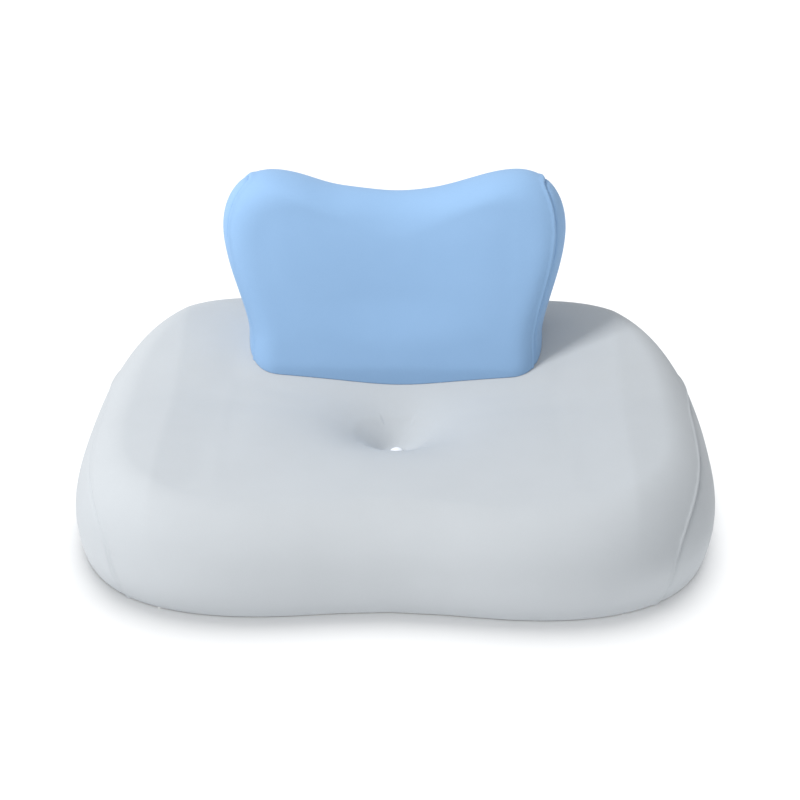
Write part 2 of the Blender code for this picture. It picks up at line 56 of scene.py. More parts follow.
def aim(made, target, azimuth, elevation, distance):
    """Stands an object off a target, looking at it. Azimuth 0 is the front, and the right is positive."""
    toward = Vector((
        math.sin(azimuth) * math.cos(elevation),
        -math.cos(azimuth) * math.cos(elevation),
        math.sin(elevation),
    ))
    made.location = target + distance * toward
    made.rotation_euler = toward.to_track_quat("Z", "Y").to_euler()


# %% [markdown]
# ## Camera
# A product view from the front, a little above. A long lens keeps the wide cushion from
# looking bent at its ends. The lens shift places the seat low in the frame without tilting it.

# %% Camera
VIEW_ELEVATION = math.radians(29.0)
VIEW_AZIMUTH = math.radians(1.4)
VIEW_DISTANCE = 2.132
VIEW_TARGET = Vector((0.0, 0.018, 0.055))

camera_data = bpy.data.cameras.new("camera")
camera_data.lens = 85
camera_data.sensor_width = 36
camera_data.shift_x = 0.00375
camera_data.shift_y = 0.0536
camera = in_scene("camera", camera_data)
aim(camera, VIEW_TARGET, VIEW_AZIMUTH, VIEW_ELEVATION, VIEW_DISTANCE)
bpy.context.scene.camera = camera
print("camera at", tuple(round(value, 3) for value in camera.location))

# %% [markdown]
# ## Studio
# Pale knitted cloth shows its form through soft shade alone, so one large lamp stands at the
# front left and an even sky fills the rest. A catalogue floor keeps a soft contact shadow but
# no long cast one. Light linking does that: the key lamp skips the floor, and a second, broad
# lamp from above and behind lights the floor alone. A weak lamp from below and in front
# stands for a white card that lifts the undercut of the cushion; the floor doesn't block it.
# A plain display transform keeps the cloth's own colours.

# %% Floor, lamps and sky
FLOOR_HALF = 40.0
KEY_SIZE = 0.60
KEY_POWER = 48.0
KEY_AZIMUTH = math.radians(-67)
KEY_ELEVATION = math.radians(54)
KEY_DISTANCE = 2.6
FLOOR_LAMP = 2.1
FLOOR_LAMP_ELEVATION = math.radians(60)
FLOOR_LAMP_BREADTH = math.radians(50)
CARD = 1.4
CARD_ELEVATION = math.radians(-68)
CARD_BREADTH = math.radians(30)
LAMP_TARGET = Vector((0, 0, 0.1))
SUN_DISTANCE = 2.0  # a sun shines the same from anywhere
SKY = 0.75
SKY_SLOPE = 0.18  # how much brighter the sky is at the left than at the middle

bpy.context.scene.view_settings.view_transform = "Standard"

floor_mesh = bpy.data.meshes.new("floor")
corners = [(-FLOOR_HALF, -FLOOR_HALF, 0), (FLOOR_HALF, -FLOOR_HALF, 0),
           (FLOOR_HALF, FLOOR_HALF, 0), (-FLOOR_HALF, FLOOR_HALF, 0)]
floor_mesh.from_pydata(corners, [], [(0, 1, 2, 3)])
floor = in_scene("floor", floor_mesh)
floor_paint = bpy.data.materials.new("floor_paint")
floor_paint.use_nodes = True
floor_shader = floor_paint.node_tree.nodes["Principled BSDF"]
floor_shader.inputs["Base Color"].default_value = (0.9, 0.9, 0.9, 1)
floor_shader.inputs["Roughness"].default_value = 1.0
floor_shader.inputs["Specular IOR Level"].default_value = 0.0
floor_mesh.materials.append(floor_paint)


def lamp(name, kind, energy, azimuth, elevation, distance):
    """A lamp that looks at the seat."""
    data = bpy.data.lights.new(name, kind)
    data.energy = energy
    made = in_scene(name, data)
    aim(made, LAMP_TARGET, azimuth, elevation, distance)
    return made


def link_group(name, state):
    """A collection with the floor in it, for a lamp to include or leave out."""
    group = bpy.data.collections.new(name)
    group.objects.link(floor)
    group.collection_objects[0].light_linking.link_state = state
    return group


key = lamp("key", "AREA", KEY_POWER, KEY_AZIMUTH, KEY_ELEVATION, KEY_DISTANCE)
key.data.size = KEY_SIZE
key.light_linking.receiver_collection = link_group("all_but_floor", "EXCLUDE")
floor_lamp = lamp("floor_lamp", "SUN", FLOOR_LAMP, math.pi, FLOOR_LAMP_ELEVATION, SUN_DISTANCE)
floor_lamp.light_linking.receiver_collection = link_group("floor_alone", "INCLUDE")
floor_lamp.data.angle = FLOOR_LAMP_BREADTH
card = lamp("card", "SUN", CARD, 0.0, CARD_ELEVATION, SUN_DISTANCE)
card.data.angle = CARD_BREADTH
card.light_linking.receiver_collection = link_group("card_skips_floor", "EXCLUDE")
card.light_linking.blocker_collection = link_group("card_passes_floor", "EXCLUDE")

sky = bpy.data.worlds.new("sky")
bpy.context.scene.world = sky
sky.use_nodes = True
background = sky.node_tree.nodes["Background"]
background.inputs["Color"].default_value = (0.97, 0.985, 1.0, 1)
heading = sky.node_tree.nodes.new("ShaderNodeTexCoord")
toward_left = sky.node_tree.nodes.new("ShaderNodeSeparateXYZ")
sky_strength = sky.node_tree.nodes.new("ShaderNodeMath")
sky_strength.operation = "MULTIPLY_ADD"
sky_strength.inputs[1].default_value = -SKY * SKY_SLOPE
sky_strength.inputs[2].default_value = SKY
sky.node_tree.links.new(heading.outputs["Generated"], toward_left.inputs[0])
sky.node_tree.links.new(toward_left.outputs[0], sky_strength.inputs[0])
sky.node_tree.links.new(sky_strength.outputs[0], background.inputs["Strength"])
print("key lamp", round(KEY_POWER), "W, sky", SKY)

# %% [markdown]
# ## A short way to wire materials
# Every finish below is a small node tree. This helper adds a node, sets its options and its
# unlinked inputs, and joins the linked ones, so that each recipe reads as a list of steps.

# %% Material helpers
def new_material(name, color, roughness, metallic=0.0, **inputs):
    """A material whose uniform values sit on the shader's own sockets."""
    material = bpy.data.materials.new(name)
    material.use_nodes = True
    shader = material.node_tree.nodes["Principled BSDF"]
    shader.inputs["Base Color"].default_value = (*color, 1)
    shader.inputs["Roughness"].default_value = roughness
    shader.inputs["Metallic"].default_value = metallic
    for socket, value in inputs.items():
        shader.inputs[socket.replace("_", " ")].default_value = value
    return material, shader


def add_node(material, kind, inputs=None, **options):
    """One node, with its inputs given by position or name as a value or as another node's output."""
    node = material.node_tree.nodes.new(kind)
    for option, value in options.items():
        setattr(node, option, value)
    for socket, value in (inputs or {}).items():
        if isinstance(value, bpy.types.NodeSocket):
            material.node_tree.links.new(value, node.inputs[socket])
        else:
            node.inputs[socket].default_value = value
    return node


def math_node(material, operation, first, second=0.0):
    return add_node(material, "ShaderNodeMath", {0: first, 1: second}, operation=operation).outputs[0]


def wave(material, value, pitch):
    """A sine of the value that repeats at a pitch in metres."""
    return math_node(material, "SINE", math_node(material, "MULTIPLY", value, math.tau / pitch))


def halved(material, value):
    """Brings -1..1 to 0..1."""
    return math_node(material, "ADD", math_node(material, "MULTIPLY", value, 0.5), 0.5)


def object_place(material):
    return add_node(material, "ShaderNodeTexCoord").outputs["Object"]


def noise(material, place, scale, detail):
    inputs = {"Vector": place, "Scale": scale, "Detail": detail}
    return add_node(material, "ShaderNodeTexNoise", inputs).outputs[0]


def axes(material, place):
    """The three parts of a vector."""
    return add_node(material, "ShaderNodeSeparateXYZ", {0: place}).outputs


def blended(material, first, share, second):
    """A share of the first value and the rest of the second."""
    return math_node(material, "ADD", math_node(material, "MULTIPLY", first, share),
                     math_node(material, "MULTIPLY", second, 1 - share))


def bump(material, shader, height, distance, strength):
    """Turns a height in 0..1 into a surface relief of that distance in metres."""
    relief = {"Height": height, "Distance": distance, "Strength": strength}
    node = add_node(material, "ShaderNodeBump", relief)
    material.node_tree.links.new(node.outputs["Normal"], shader.inputs["Normal"])


def tinted(material, shader, share, dark, light):
    """Base colour between two colours, by a share in 0..1."""
    ends = {"Factor": share, 6: (*dark, 1), 7: (*light, 1)}  # sockets 6 and 7 are the two colours
    mix = add_node(material, "ShaderNodeMix", ends, data_type="RGBA")
    material.node_tree.links.new(mix.outputs[2], shader.inputs["Base Color"])


# %% [markdown]
# ## Jersey knit
# The covers are a fine jersey: columns of V-shaped stitches, about a millimetre wide. Real
# jersey follows the cloth, not the room, so the pattern reads a "weave" attribute that holds
# each point's distance along the cloth, in metres. A slow cloudiness and fine flecks keep the
# wide areas from looking sprayed, and sheen gives the pale edge that short fibres have.

# %% Knit recipe
WALE = 0.0011  # breadth of one column of stitches
COURSE = 0.0009  # height of one row


def knit(name, dark, light):
    """Columns of V-shaped stitches on the weave attribute, with a slow cloudiness and fine flecks."""
    material, shader = new_material(
        name, light, 0.86, Sheen_Weight=0.08, Sheen_Roughness=0.45, Specular_IOR_Level=0.25
    )
    weave = add_node(material, "ShaderNodeAttribute", attribute_name="weave").outputs["Vector"]
    sideways, along, _ = axes(material, weave)
    column = math_node(material, "FRACT", math_node(material, "DIVIDE", sideways, WALE))
    from_middle = math_node(material, "ABSOLUTE", math_node(material, "SUBTRACT", column, 0.5))
    row = math_node(material, "DIVIDE", along, COURSE)
    leg = math_node(material, "FRACT", math_node(material, "ADD", row, from_middle))
    round_leg = math_node(material, "SINE", math_node(material, "MULTIPLY", leg, math.pi))
    stitch = math_node(material, "MULTIPLY", round_leg, wave(material, from_middle, 1))
    place = object_place(material)
    fleck = noise(material, place, 700.0, 3.0)
    tinted(material, shader, blended(material, noise(material, place, 22.0, 2.0), 0.5, fleck), dark, light)
    height = math_node(material, "ADD", stitch, math_node(material, "MULTIPLY", fleck, 0.6))
    bump(material, shader, height, 0.00010, 0.5)
    return material


grey_knit = knit("grey_knit", (0.457, 0.481, 0.503), (0.499, 0.525, 0.549))
blue_knit = knit("blue_knit", (0.252, 0.416, 0.646), (0.284, 0.455, 0.694))
print("knits:", grey_knit.name, blue_knit.name)

# %% [markdown]
# ## Cloth as a grid of rings
# Each cushion is a closed cloth form whose shape follows a rule, so numpy computes it as rings
# of points. A grid keeps the cloth's own order, which the swelling step and the weave need.
# Where a pole is asked for, its end ring closes with a fan of triangles.

# %% Grid helpers
def ring_faces(rings, spokes):
    """Quads between neighbouring rings, turning so that they face away from the first ring's pole."""
    ring, spoke = np.meshgrid(np.arange(rings - 1), np.arange(spokes), indexing="ij")
    following = (spoke + 1) % spokes
    quads = np.stack([ring * spokes + spoke, (ring + 1) * spokes + spoke,
                      (ring + 1) * spokes + following, ring * spokes + following], axis=-1)
    return quads.reshape(-1, 4)


def along_rings(points, around_start=True):
    """Distance along each spoke from the first ring, in metres."""
    steps = np.linalg.norm(np.diff(points, axis=0), axis=2)
    start = np.linalg.norm(points[0, :, :2] - points[0, :, :2].mean(axis=0), axis=1)
    return np.vstack([start if around_start else start * 0, start + np.cumsum(steps, axis=0)])


def ring_normals(points):
    """Unit normals of a grid of points, from its neighbours along and around the rings."""
    around = np.roll(points, -1, axis=1) - np.roll(points, 1, axis=1)
    along = np.gradient(points, axis=0)
    normal = np.cross(along, around)
    return normal / np.maximum(np.linalg.norm(normal, axis=2, keepdims=True), 1e-12)


def refine(values):
    """Twice as many rings and spokes, each new one midway on a smooth curve through its neighbours."""
    before, after, second = (np.roll(values, shift, axis=1) for shift in (1, -1, -2))
    spokes = (9 * (values + after) - before - second) / 16
    wide = np.stack([values, spokes], axis=2).reshape(values.shape[0], -1, *values.shape[2:])
    fine = np.empty((2 * wide.shape[0] - 1, *wide.shape[1:]))
    fine[::2] = wide
    padded = np.concatenate([wide[:1], wide, wide[-1:]])
    fine[1::2] = (9 * (padded[1:-2] + padded[2:-1]) - padded[:-3] - padded[3:]) / 16
    return fine


def plain_object(name, points, faces):
    mesh = bpy.data.meshes.new(name)
    mesh.from_pydata(np.asarray(points).reshape(-1, 3).tolist(), [], [list(map(int, face)) for face in faces])
    return in_scene(name, mesh)


def solid_object(name, bm, material=None, sharp=None):
    """Turns a bmesh into an object. With a sharp angle in degrees, only flatter edges are smoothed."""
    mesh = bpy.data.meshes.new(name)
    bm.to_mesh(mesh)
    bm.free()
    if material:
        mesh.materials.append(material)
    if sharp:
        mesh.shade_smooth()
        mesh.set_sharp_from_angle(angle=math.radians(sharp))
    return in_scene(name, mesh)


def bridge(bm, rows):
    """Joins each closed ring of vertices to the next by faces. A ring of one vertex is a pole."""
    for upper, lower in zip(rows, rows[1:]):
        for index in range(max(len(upper), len(lower))):
            following = index + 1
            corners = [upper[index % len(upper)], lower[index % len(lower)],
                       lower[following % len(lower)], upper[following % len(upper)]]
            bm.faces.new(list(dict.fromkeys(corners)))


def smooth_step(value):
    value = np.clip(value, 0.0, 1.0)
    return value * value * (3 - 2 * value)


def shoulder(distance, breadth, inner, outer):
    """0 at the edge of a cushion, rising to 1 where its rounded shoulder ends.

    A higher inner exponent makes a smoother end, and a higher outer one a squarer edge.
    """
    left = 1 - np.clip(distance / breadth, 0.0, 1.0)
    return (1 - left**inner) ** (1 / outer)


# %% [markdown]
# ## Letting the filling push the cloth out
# Foam presses its cover outwards, and seams and tufts hold it back. The cloth solver does this
# for both cushions: a slightly smaller form gets an inner pressure and no gravity, and points
# near seams, the tuft and the resting faces are held. The travel is capped softly, and the
# filling stops the cloth from drawing in, so the cushion keeps its size. The result is only a
# displacement, which the fine grid then takes.

# %% Swelling
SOFT_CAP = 0.005  # the most that the cloth may travel, in metres
SMALLER = 0.0035  # how much smaller the form starts
DRAW_IN = 0.0007  # how far the cloth may draw in before the filling stops it
PRESSURE = 4.0
CLOTH_FRAMES = 20
SMOOTHINGS = 3  # times that the travel is averaged with its neighbours


def swollen(name, coarse, held):
    """How far each point of the coarse grid ends from where the pattern puts it."""
    normals = ring_normals(coarse)
    start = coarse - normals * (SMALLER * (1 - held))[..., None]
    rings, spokes = coarse.shape[:2]
    piece = plain_object(name, start, ring_faces(rings, spokes))
    group = piece.vertex_groups.new(name="held")
    for index, weight in enumerate(held.reshape(-1)):
        if weight > 0.01:
            group.add([index], float(weight), "REPLACE")
    cloth = piece.modifiers.new("cloth", "CLOTH")
    cloth.settings.quality = 5
    cloth.settings.mass = 0.3
    cloth.settings.tension_stiffness = 40
    cloth.settings.compression_stiffness = 40
    cloth.settings.bending_stiffness = 5
    cloth.settings.use_pressure = True
    cloth.settings.uniform_pressure_force = PRESSURE
    cloth.settings.effector_weights.gravity = 0
    cloth.settings.vertex_group_mass = "held"
    cloth.collision_settings.use_collision = False
    cloth.point_cache.frame_end = CLOTH_FRAMES
    for number in range(1, CLOTH_FRAMES + 1):
        bpy.context.scene.frame_set(number)
    settled = piece.evaluated_get(bpy.context.evaluated_depsgraph_get())
    places = np.empty(rings * spokes * 3)
    settled.data.vertices.foreach_get("co", places)
    travel = places.reshape(rings, spokes, 3) - start
    bpy.data.objects.remove(piece)
    bpy.context.scene.frame_set(1)
    length = np.linalg.norm(travel, axis=2, keepdims=True)
    travel *= SOFT_CAP * np.tanh(length / SOFT_CAP) / np.maximum(length, 1e-9)
    for _ in range(SMOOTHINGS):
        travel = (2 * travel + np.roll(travel, 1, axis=1) + np.roll(travel, -1, axis=1)) / 4
        travel[1:-1] = (2 * travel[1:-1] + travel[:-2] + travel[2:]) / 4
    moved = start + travel - coarse
    outwards = np.sum(moved * normals, axis=2)
    stopped = DRAW_IN * (np.logaddexp(0, outwards / DRAW_IN + 1) - 1)
    print(f"{name}: {outwards.mean() * 1000:.1f} mm outwards on average before the filling stops it,",
          f"{stopped.mean() * 1000:.1f} after")
    return moved + normals * (stopped - outwards)[..., None]


# %% [markdown]
# ## Cutting cloth along a measured line
# A seam, a buttonhole or a zip slot is a line on the cloth. Each point gets a number for how
# far it lies from that line, and Bisect then cuts every edge where the number passes a chosen
# level. To let a flat plane follow a curved line, the number stands in for the X coordinate
# while cutting, and the real places come back from a layer that the cut interpolates.

# %% Cutting helpers
def cloth_sheet(points, weave, fields, poles=()):
    """A bmesh of the grid that remembers each point's place, weave and measured fields. Poles are closed."""
    rings, spokes = points.shape[:2]
    bm = bmesh.new()
    place = bm.verts.layers.float_vector.new("place")
    thread = bm.verts.layers.float_vector.new("weave")
    layers = {field: bm.verts.layers.float.new(field) for field in fields}
    flat_points = points.reshape(-1, 3)
    flat_weave = weave.reshape(-1, 2)
    for index, spot in enumerate(flat_points):
        vert = bm.verts.new(spot)
        vert[place] = spot
        vert[thread] = (*flat_weave[index], 0)
    bm.verts.ensure_lookup_table()
    for field, values in fields.items():
        flat = values.reshape(-1)
        for index, vert in enumerate(bm.verts):
            vert[layers[field]] = flat[index]
    for face in ring_faces(rings, spokes):
        bm.faces.new([bm.verts[int(index)] for index in face])
    for pole, turn in poles:
        rim = bm.verts[:spokes] if pole == 0 else bm.verts[(rings - 1) * spokes:rings * spokes]
        fan = bmesh.ops.poke(bm, faces=[bm.faces.new(rim[::turn])])
        bm.verts.ensure_lookup_table()
        for vert in fan["verts"]:
            vert[place] = vert.co
    for face in bm.faces:
        face.smooth = True
    return bm


def cut_at(bm, field, levels):
    """New edges across the cloth wherever a field passes each level."""
    place = bm.verts.layers.float_vector["place"]
    layer = bm.verts.layers.float[field]
    for level in levels:
        for vert in bm.verts:
            vert.co = (vert[layer], vert[place][1], vert[place][2])
        near = [face for face in bm.faces
                if min(v[layer] for v in face.verts) <= level <= max(v[layer] for v in face.verts)]
        edges = {edge for face in near for edge in face.edges}
        verts = {vert for face in near for vert in face.verts}
        bmesh.ops.bisect_plane(bm, geom=[*verts, *edges, *near], dist=2e-5,
                               plane_co=(level, 0, 0), plane_no=(1, 0, 0))
    for vert in bm.verts:
        vert.co = vert[place]


def drop_below(bm, field, level=0.0):
    """Removes the cloth whose field lies under the level."""
    layer = bm.verts.layers.float[field]
    gone = [face for face in bm.faces if sum(v[layer] for v in face.verts) / len(face.verts) < level]
    bmesh.ops.delete(bm, geom=gone, context="FACES")


def raise_profile(bm, field, profile):
    """Moves the cloth along its normals by a profile of (distance from the line, height)."""
    layer = bm.verts.layers.float[field]
    bm.normal_update()
    at, height = zip(*profile)
    moves = [(vert, vert.normal * float(np.interp(vert[layer], at, height))) for vert in bm.verts
             if at[0] < vert[layer] < at[-1]]
    for vert, move in moves:
        vert.co += move


def panel(bm, name, keep, material):
    """One sewn panel: the faces that a test keeps, as an object of its own."""
    part = bm.copy()
    gone = [face for face, source in zip(part.faces, list(bm.faces)) if not keep(source)]
    bmesh.ops.delete(part, geom=gone, context="FACES")
    made = solid_object(name, part, material)
    attributes = made.data.attributes
    for helper in [item.name for item in attributes
                   if not (item.is_internal or item.is_required or item.name in ("weave", "sharp_face"))]:
        attributes.remove(attributes[helper])
    return made


def thicken(made, thickness):
    """Gives a panel its cloth's thickness, inwards."""
    solid = made.modifiers.new("thickness", "SOLIDIFY")
    solid.thickness = thickness
    solid.offset = -1
    return made


def to_plain_mesh(made):
    """Applies every modifier, so that only a plain mesh is left."""
    mesh = bpy.data.meshes.new_from_object(made.evaluated_get(bpy.context.evaluated_depsgraph_get()))
    made.modifiers.clear()
    old, made.data = made.data, mesh
    bpy.data.meshes.remove(old)
    return made


def sewn_panels(cloth, main, left, right, material):
    """Parts the cloth along its seam: the main panel, then the left and the right one."""
    layer = cloth.verts.layers.float["seam"]

    def side(face):
        """0 on the main panel, -1 on the left one and 1 on the right one."""
        if sum(vert[layer] for vert in face.verts) > 0:
            return 0
        return -1 if face.calc_center_median().x < 0 else 1

    made = [panel(cloth, name, lambda face, wanted=wanted: side(face) == wanted, material)
            for name, wanted in ((main, 0), (left, -1), (right, 1))]
    cloth.free()
    for one in made:
        to_plain_mesh(thicken(one, CLOTH))
        print(one.name, len(one.data.polygons), "faces")
    return made


# %% [markdown]
# ## The seat cushion's form
# Seen from above the seat is a squarish oval whose front edge dips in at the middle. Its side
# rounds over a broad shoulder, the rear and the ends stand higher, and a cord pulls the centre
# down into a tuft that opens backwards into a groove. These are the same rules and sizes as
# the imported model's, so the cloth lies on the foam everywhere.

# %% Seat form
SEAT_WIDTH, SEAT_FRONT, SEAT_REAR = 0.700, 0.258, 0.272
WIDEST_LINE_Y = -0.0075
RIM_HEIGHT, SEAT_TUCK, UNDERSIDE = 0.038, 0.020, -0.008
FRONT_CROWN, REAR_RISE, SIDE_RISE = 0.098, 0.044, 0.016
SEAT_SHOULDER = (0.058, 0.078)  # breadth at the ends and rear, and at the front
SEAT_SHOULDER_SHAPE = (1.9, 1.9)  # inner and outer exponent
TUFT_DEPTH, TUFT_FLOOR = 0.046, 0.0118
TUFT_REACH = (0.044, 0.036, 0.040)
SEAT_HEM_Z = 0.0010  # the cover's lower edge


def seat_outline(longitude):
    """The widest contour from above, as x and y."""
    along, across = np.cos(longitude), np.sin(longitude)
    front = across < 0
    x = SEAT_WIDTH / 2 * np.sign(along) * np.abs(along) ** (2 / np.where(front, 4.2, 3.3))
    squareness = 2 / np.where(front, 2.8, 2.6)
    y = np.where(front, SEAT_FRONT, SEAT_REAR) * np.sign(across) * np.abs(across) ** squareness
    notch = np.where(front, 0.016, -0.005) * np.exp(-((x / 0.115) ** 2)) * np.abs(across)
    return x, y + WIDEST_LINE_Y + notch


def seat_top(x, y):
    """Height of the seat's top, before its shoulder falls away."""
    sideways, forwards, backwards = TUFT_REACH
    away = np.maximum(1 - TUFT_FLOOR / np.maximum(np.hypot(x, y), TUFT_FLOOR), 0.0)
    reach = away * np.hypot(x / sideways, y / np.where(y < 0, forwards, backwards))
    rise = REAR_RISE * smooth_step((y - 0.010) / 0.200)
    rise = rise + SIDE_RISE * np.minimum(np.abs(x) / 0.250, 1) ** 2.5
    return FRONT_CROWN + rise - TUFT_DEPTH * np.exp(-(reach**1.15))


def seat_grid(spokes, top_rings, side_rings):
    """Rings from the tuft out over the shoulder and down to the floor."""
    longitude = np.arange(spokes) / spokes * math.tau
    x, y = seat_outline(longitude)
    edge = np.stack([x, y], axis=1)
    reach = np.linalg.norm(edge, axis=1)
    share = np.sin(math.pi / 2 * np.linspace(0.0445, 1, top_rings))[:, None] ** 1.65
    flat = edge[None] * share[..., None]
    frontness = np.maximum(-np.sin(longitude), 0) ** 2
    breadth = SEAT_SHOULDER[0] + (SEAT_SHOULDER[1] - SEAT_SHOULDER[0]) * frontness
    rounded = shoulder(reach * (1 - share), breadth, *SEAT_SHOULDER_SHAPE)
    height = RIM_HEIGHT + (seat_top(flat[..., 0], flat[..., 1]) - RIM_HEIGHT) * rounded
    top = np.concatenate([flat, height[..., None]], axis=2)
    last_turn = math.asin((RIM_HEIGHT - SEAT_HEM_Z) / (RIM_HEIGHT - UNDERSIDE))
    turn = np.linspace(0, last_turn, side_rings + 1)[1:, None]
    inward = edge / reach[:, None]
    drawn = edge[None] - inward[None] * (SEAT_TUCK * (1 - np.cos(turn)))[..., None]
    low = np.broadcast_to(RIM_HEIGHT - (RIM_HEIGHT - UNDERSIDE) * np.sin(turn), drawn.shape[:2])
    side = np.concatenate([drawn, low[..., None]], axis=2)
    return np.concatenate([top, side])


SEAT_SPOKES, SEAT_TOP_RINGS, SEAT_SIDE_RINGS = 152, 53, 11
seat_coarse = seat_grid(SEAT_SPOKES, SEAT_TOP_RINGS, SEAT_SIDE_RINGS)
print("seat grid:", seat_coarse.shape[0], "rings of", seat_coarse.shape[1])

# %% [markdown]
# ## What holds the seat's cloth
# The cloth is held where it is sewn or pressed: round the tuft's button, along the D-shaped
# end seams, at the hem, at the zip, and under the back cushion. Everything else may swell.
# The seam's own line is an arch on each end, so its distance comes from the arch's rule.

# %% Seat fields
SEAT_ARCH = (0.218, 0.095)  # half breadth and height of the D-shaped end panel
SEAM_ENDS_X = 0.200  # the end panels lie beyond this
LEG_X, LEG_Y, LEG_HOLE = 0.100, 0.126, 0.0092
FOOTPRINT = (0.160, 0.050)  # half size of the back cushion's foot
SEAT_ZIP_HALF, SEAT_ZIP_Z = 0.115, 0.046
SEAT_SLOT_HALF = SEAT_ZIP_HALF + 0.0010
ZIP_OPENING = 0.0043  # half height of the slot between the cloth's folded edges
ARCH_SQUARENESS = 3.5
TOP_Z, REAR_Y = 0.075, 0.15  # the seat's top lies above the first, and its rear side behind the second
HELD_PAST_ZIP = 0.02
ELSEWHERE = 0.05  # added to a field on faces that its line doesn't cross


def arch_distance(across, up, half_breadth, height):
    """Roughly how far a point lies outside a squarish arch, in metres: the arch's rule over its slope."""
    power = ARCH_SQUARENESS
    a, b = np.abs(across) / half_breadth, np.maximum(up, 0) / height
    total = np.maximum(a**power + b**power, 1e-9)
    outside = total ** (1 / power)
    slope = np.hypot(a ** (power - 1) / half_breadth, b ** (power - 1) / height) * total ** (1 / power - 1)
    return (outside - 1) / np.maximum(slope, 1.0)


def seat_seam(x, y, z):
    """Distance from the end panels' seams: squarish arches, seen from the ends."""
    return np.maximum(arch_distance(y, z, *SEAT_ARCH), SEAM_ENDS_X - np.abs(x))


def slot_distance(along, up, half_length, half_height):
    """How far a point lies outside a slot with rounded ends."""
    return np.hypot(np.maximum(np.abs(along) - (half_length - half_height), 0), up) - half_height


def leg_distance(x, y):
    """Distance from the axis of the nearer leg of the hoop."""
    return np.hypot(np.abs(x) - LEG_X, y - LEG_Y)


def seat_held(points):
    x, y, z = points[..., 0], points[..., 1], points[..., 2]
    top = z > TOP_Z
    tuft = np.where(top, 1 - smooth_step((np.hypot(x, y) - 0.016) / 0.040), 0)
    seam = 0.9 * np.exp(-((seat_seam(x, y, z) / 0.012) ** 2))
    hem = 1 - smooth_step((z - 0.004) / 0.020)
    beyond = np.hypot(np.maximum(np.abs(x) - FOOTPRINT[0], 0),
                      np.maximum(np.abs(y - LEG_Y) - FOOTPRINT[1], 0))
    foot = np.where(top, 1 - smooth_step((beyond - 0.004) / 0.030), 0)
    opening = slot_distance(x, z - SEAT_ZIP_Z, SEAT_ZIP_HALF + HELD_PAST_ZIP, ZIP_OPENING)
    zipped = np.where(y > REAR_Y, 1 - smooth_step((opening - 0.006) / 0.020), 0)
    return np.clip(np.maximum.reduce([tuft, seam, hem, foot, zipped]), 0, 1)


def seat_weave(points):
    """The cloth's own coordinates: distance from the tuft, in the spoke's direction."""
    distance = along_rings(points)
    heading = np.arctan2(points[..., 1], points[..., 0])
    return np.stack([distance * np.cos(heading), distance * np.sin(heading)], axis=2)


seat_travel = swollen("seat cloth", seat_coarse, seat_held(seat_coarse))
seat_pattern = seat_grid(2 * SEAT_SPOKES, 2 * SEAT_TOP_RINGS - 1, 2 * SEAT_SIDE_RINGS)
seat_points = seat_pattern + refine(seat_travel)[: seat_pattern.shape[0]]
print("seat cloth:", seat_points.shape[0] * seat_points.shape[1], "points")

# %% [markdown]
# ## Sewing the seat cover
# The cover has one main panel and two end panels. Parallel cuts follow each seam. The cloth
# dives two millimetres into the seam, and on the main panel's side it folds over the seam
# allowance in a fine ridge, so the seam shows as a dark line beside a bright one. The same cuts
# open the two leg holes and the zip slot, whose rims are slightly thickened by their hems.

# %% Seat cover
CLOTH = 0.0012
SEAM_PROFILE = ((-0.0070, 0), (-0.0036, -0.0003), (-0.0016, -0.0009), (-0.0007, -0.0018), (0, -0.0020),
                (0.0005, -0.0010), (0.0011, 0.0006), (0.0019, 0.0011), (0.0027, 0.0007), (0.0038, 0),
                (0.0070, 0))
HEM_CUTS = (0, 0.0006, 0.0016, 0.0024)
HEM_PROFILE = ((-0.0001, 0), (0, 0.0001), (0.0006, 0.0005), (0.0016, 0.0005), (0.0024, -0.0002), (0.0042, 0))


def seat_fields(pattern):
    x, y, z = pattern[..., 0], pattern[..., 1], pattern[..., 2]
    holes = leg_distance(x, y) - LEG_HOLE + np.where(z > TOP_Z, 0.0, ELSEWHERE)
    slot = slot_distance(x, z - SEAT_ZIP_Z, SEAT_SLOT_HALF, ZIP_OPENING)
    slot = slot + np.where(y > REAR_Y, 0.0, ELSEWHERE)
    return {"seam": seat_seam(x, y, z), "hole": holes, "slot": slot}


seat_cloth = cloth_sheet(seat_points, seat_weave(seat_pattern), seat_fields(seat_pattern))
cut_at(seat_cloth, "seam", [at for at, _ in SEAM_PROFILE])
cut_at(seat_cloth, "hole", HEM_CUTS)
cut_at(seat_cloth, "slot", HEM_CUTS)
drop_below(seat_cloth, "hole")
drop_below(seat_cloth, "slot")
raise_profile(seat_cloth, "seam", SEAM_PROFILE)
raise_profile(seat_cloth, "hole", HEM_PROFILE)
raise_profile(seat_cloth, "slot", HEM_PROFILE)

seat_cover, seat_end_left, seat_end_right = sewn_panels(
    seat_cloth, "seat_cover", "seat_end_left", "seat_end_right", grey_knit)

# %% [markdown]
# ## The back cushion's form
# From the front the back cushion is a butterfly shape: two lobes, a dip between them, a narrower
# waist, and a foot that rests on the seat. A chain of curves gives that outline. From the side
# it is a leaning pad, thicker at the foot, whose front face is slightly hollow.

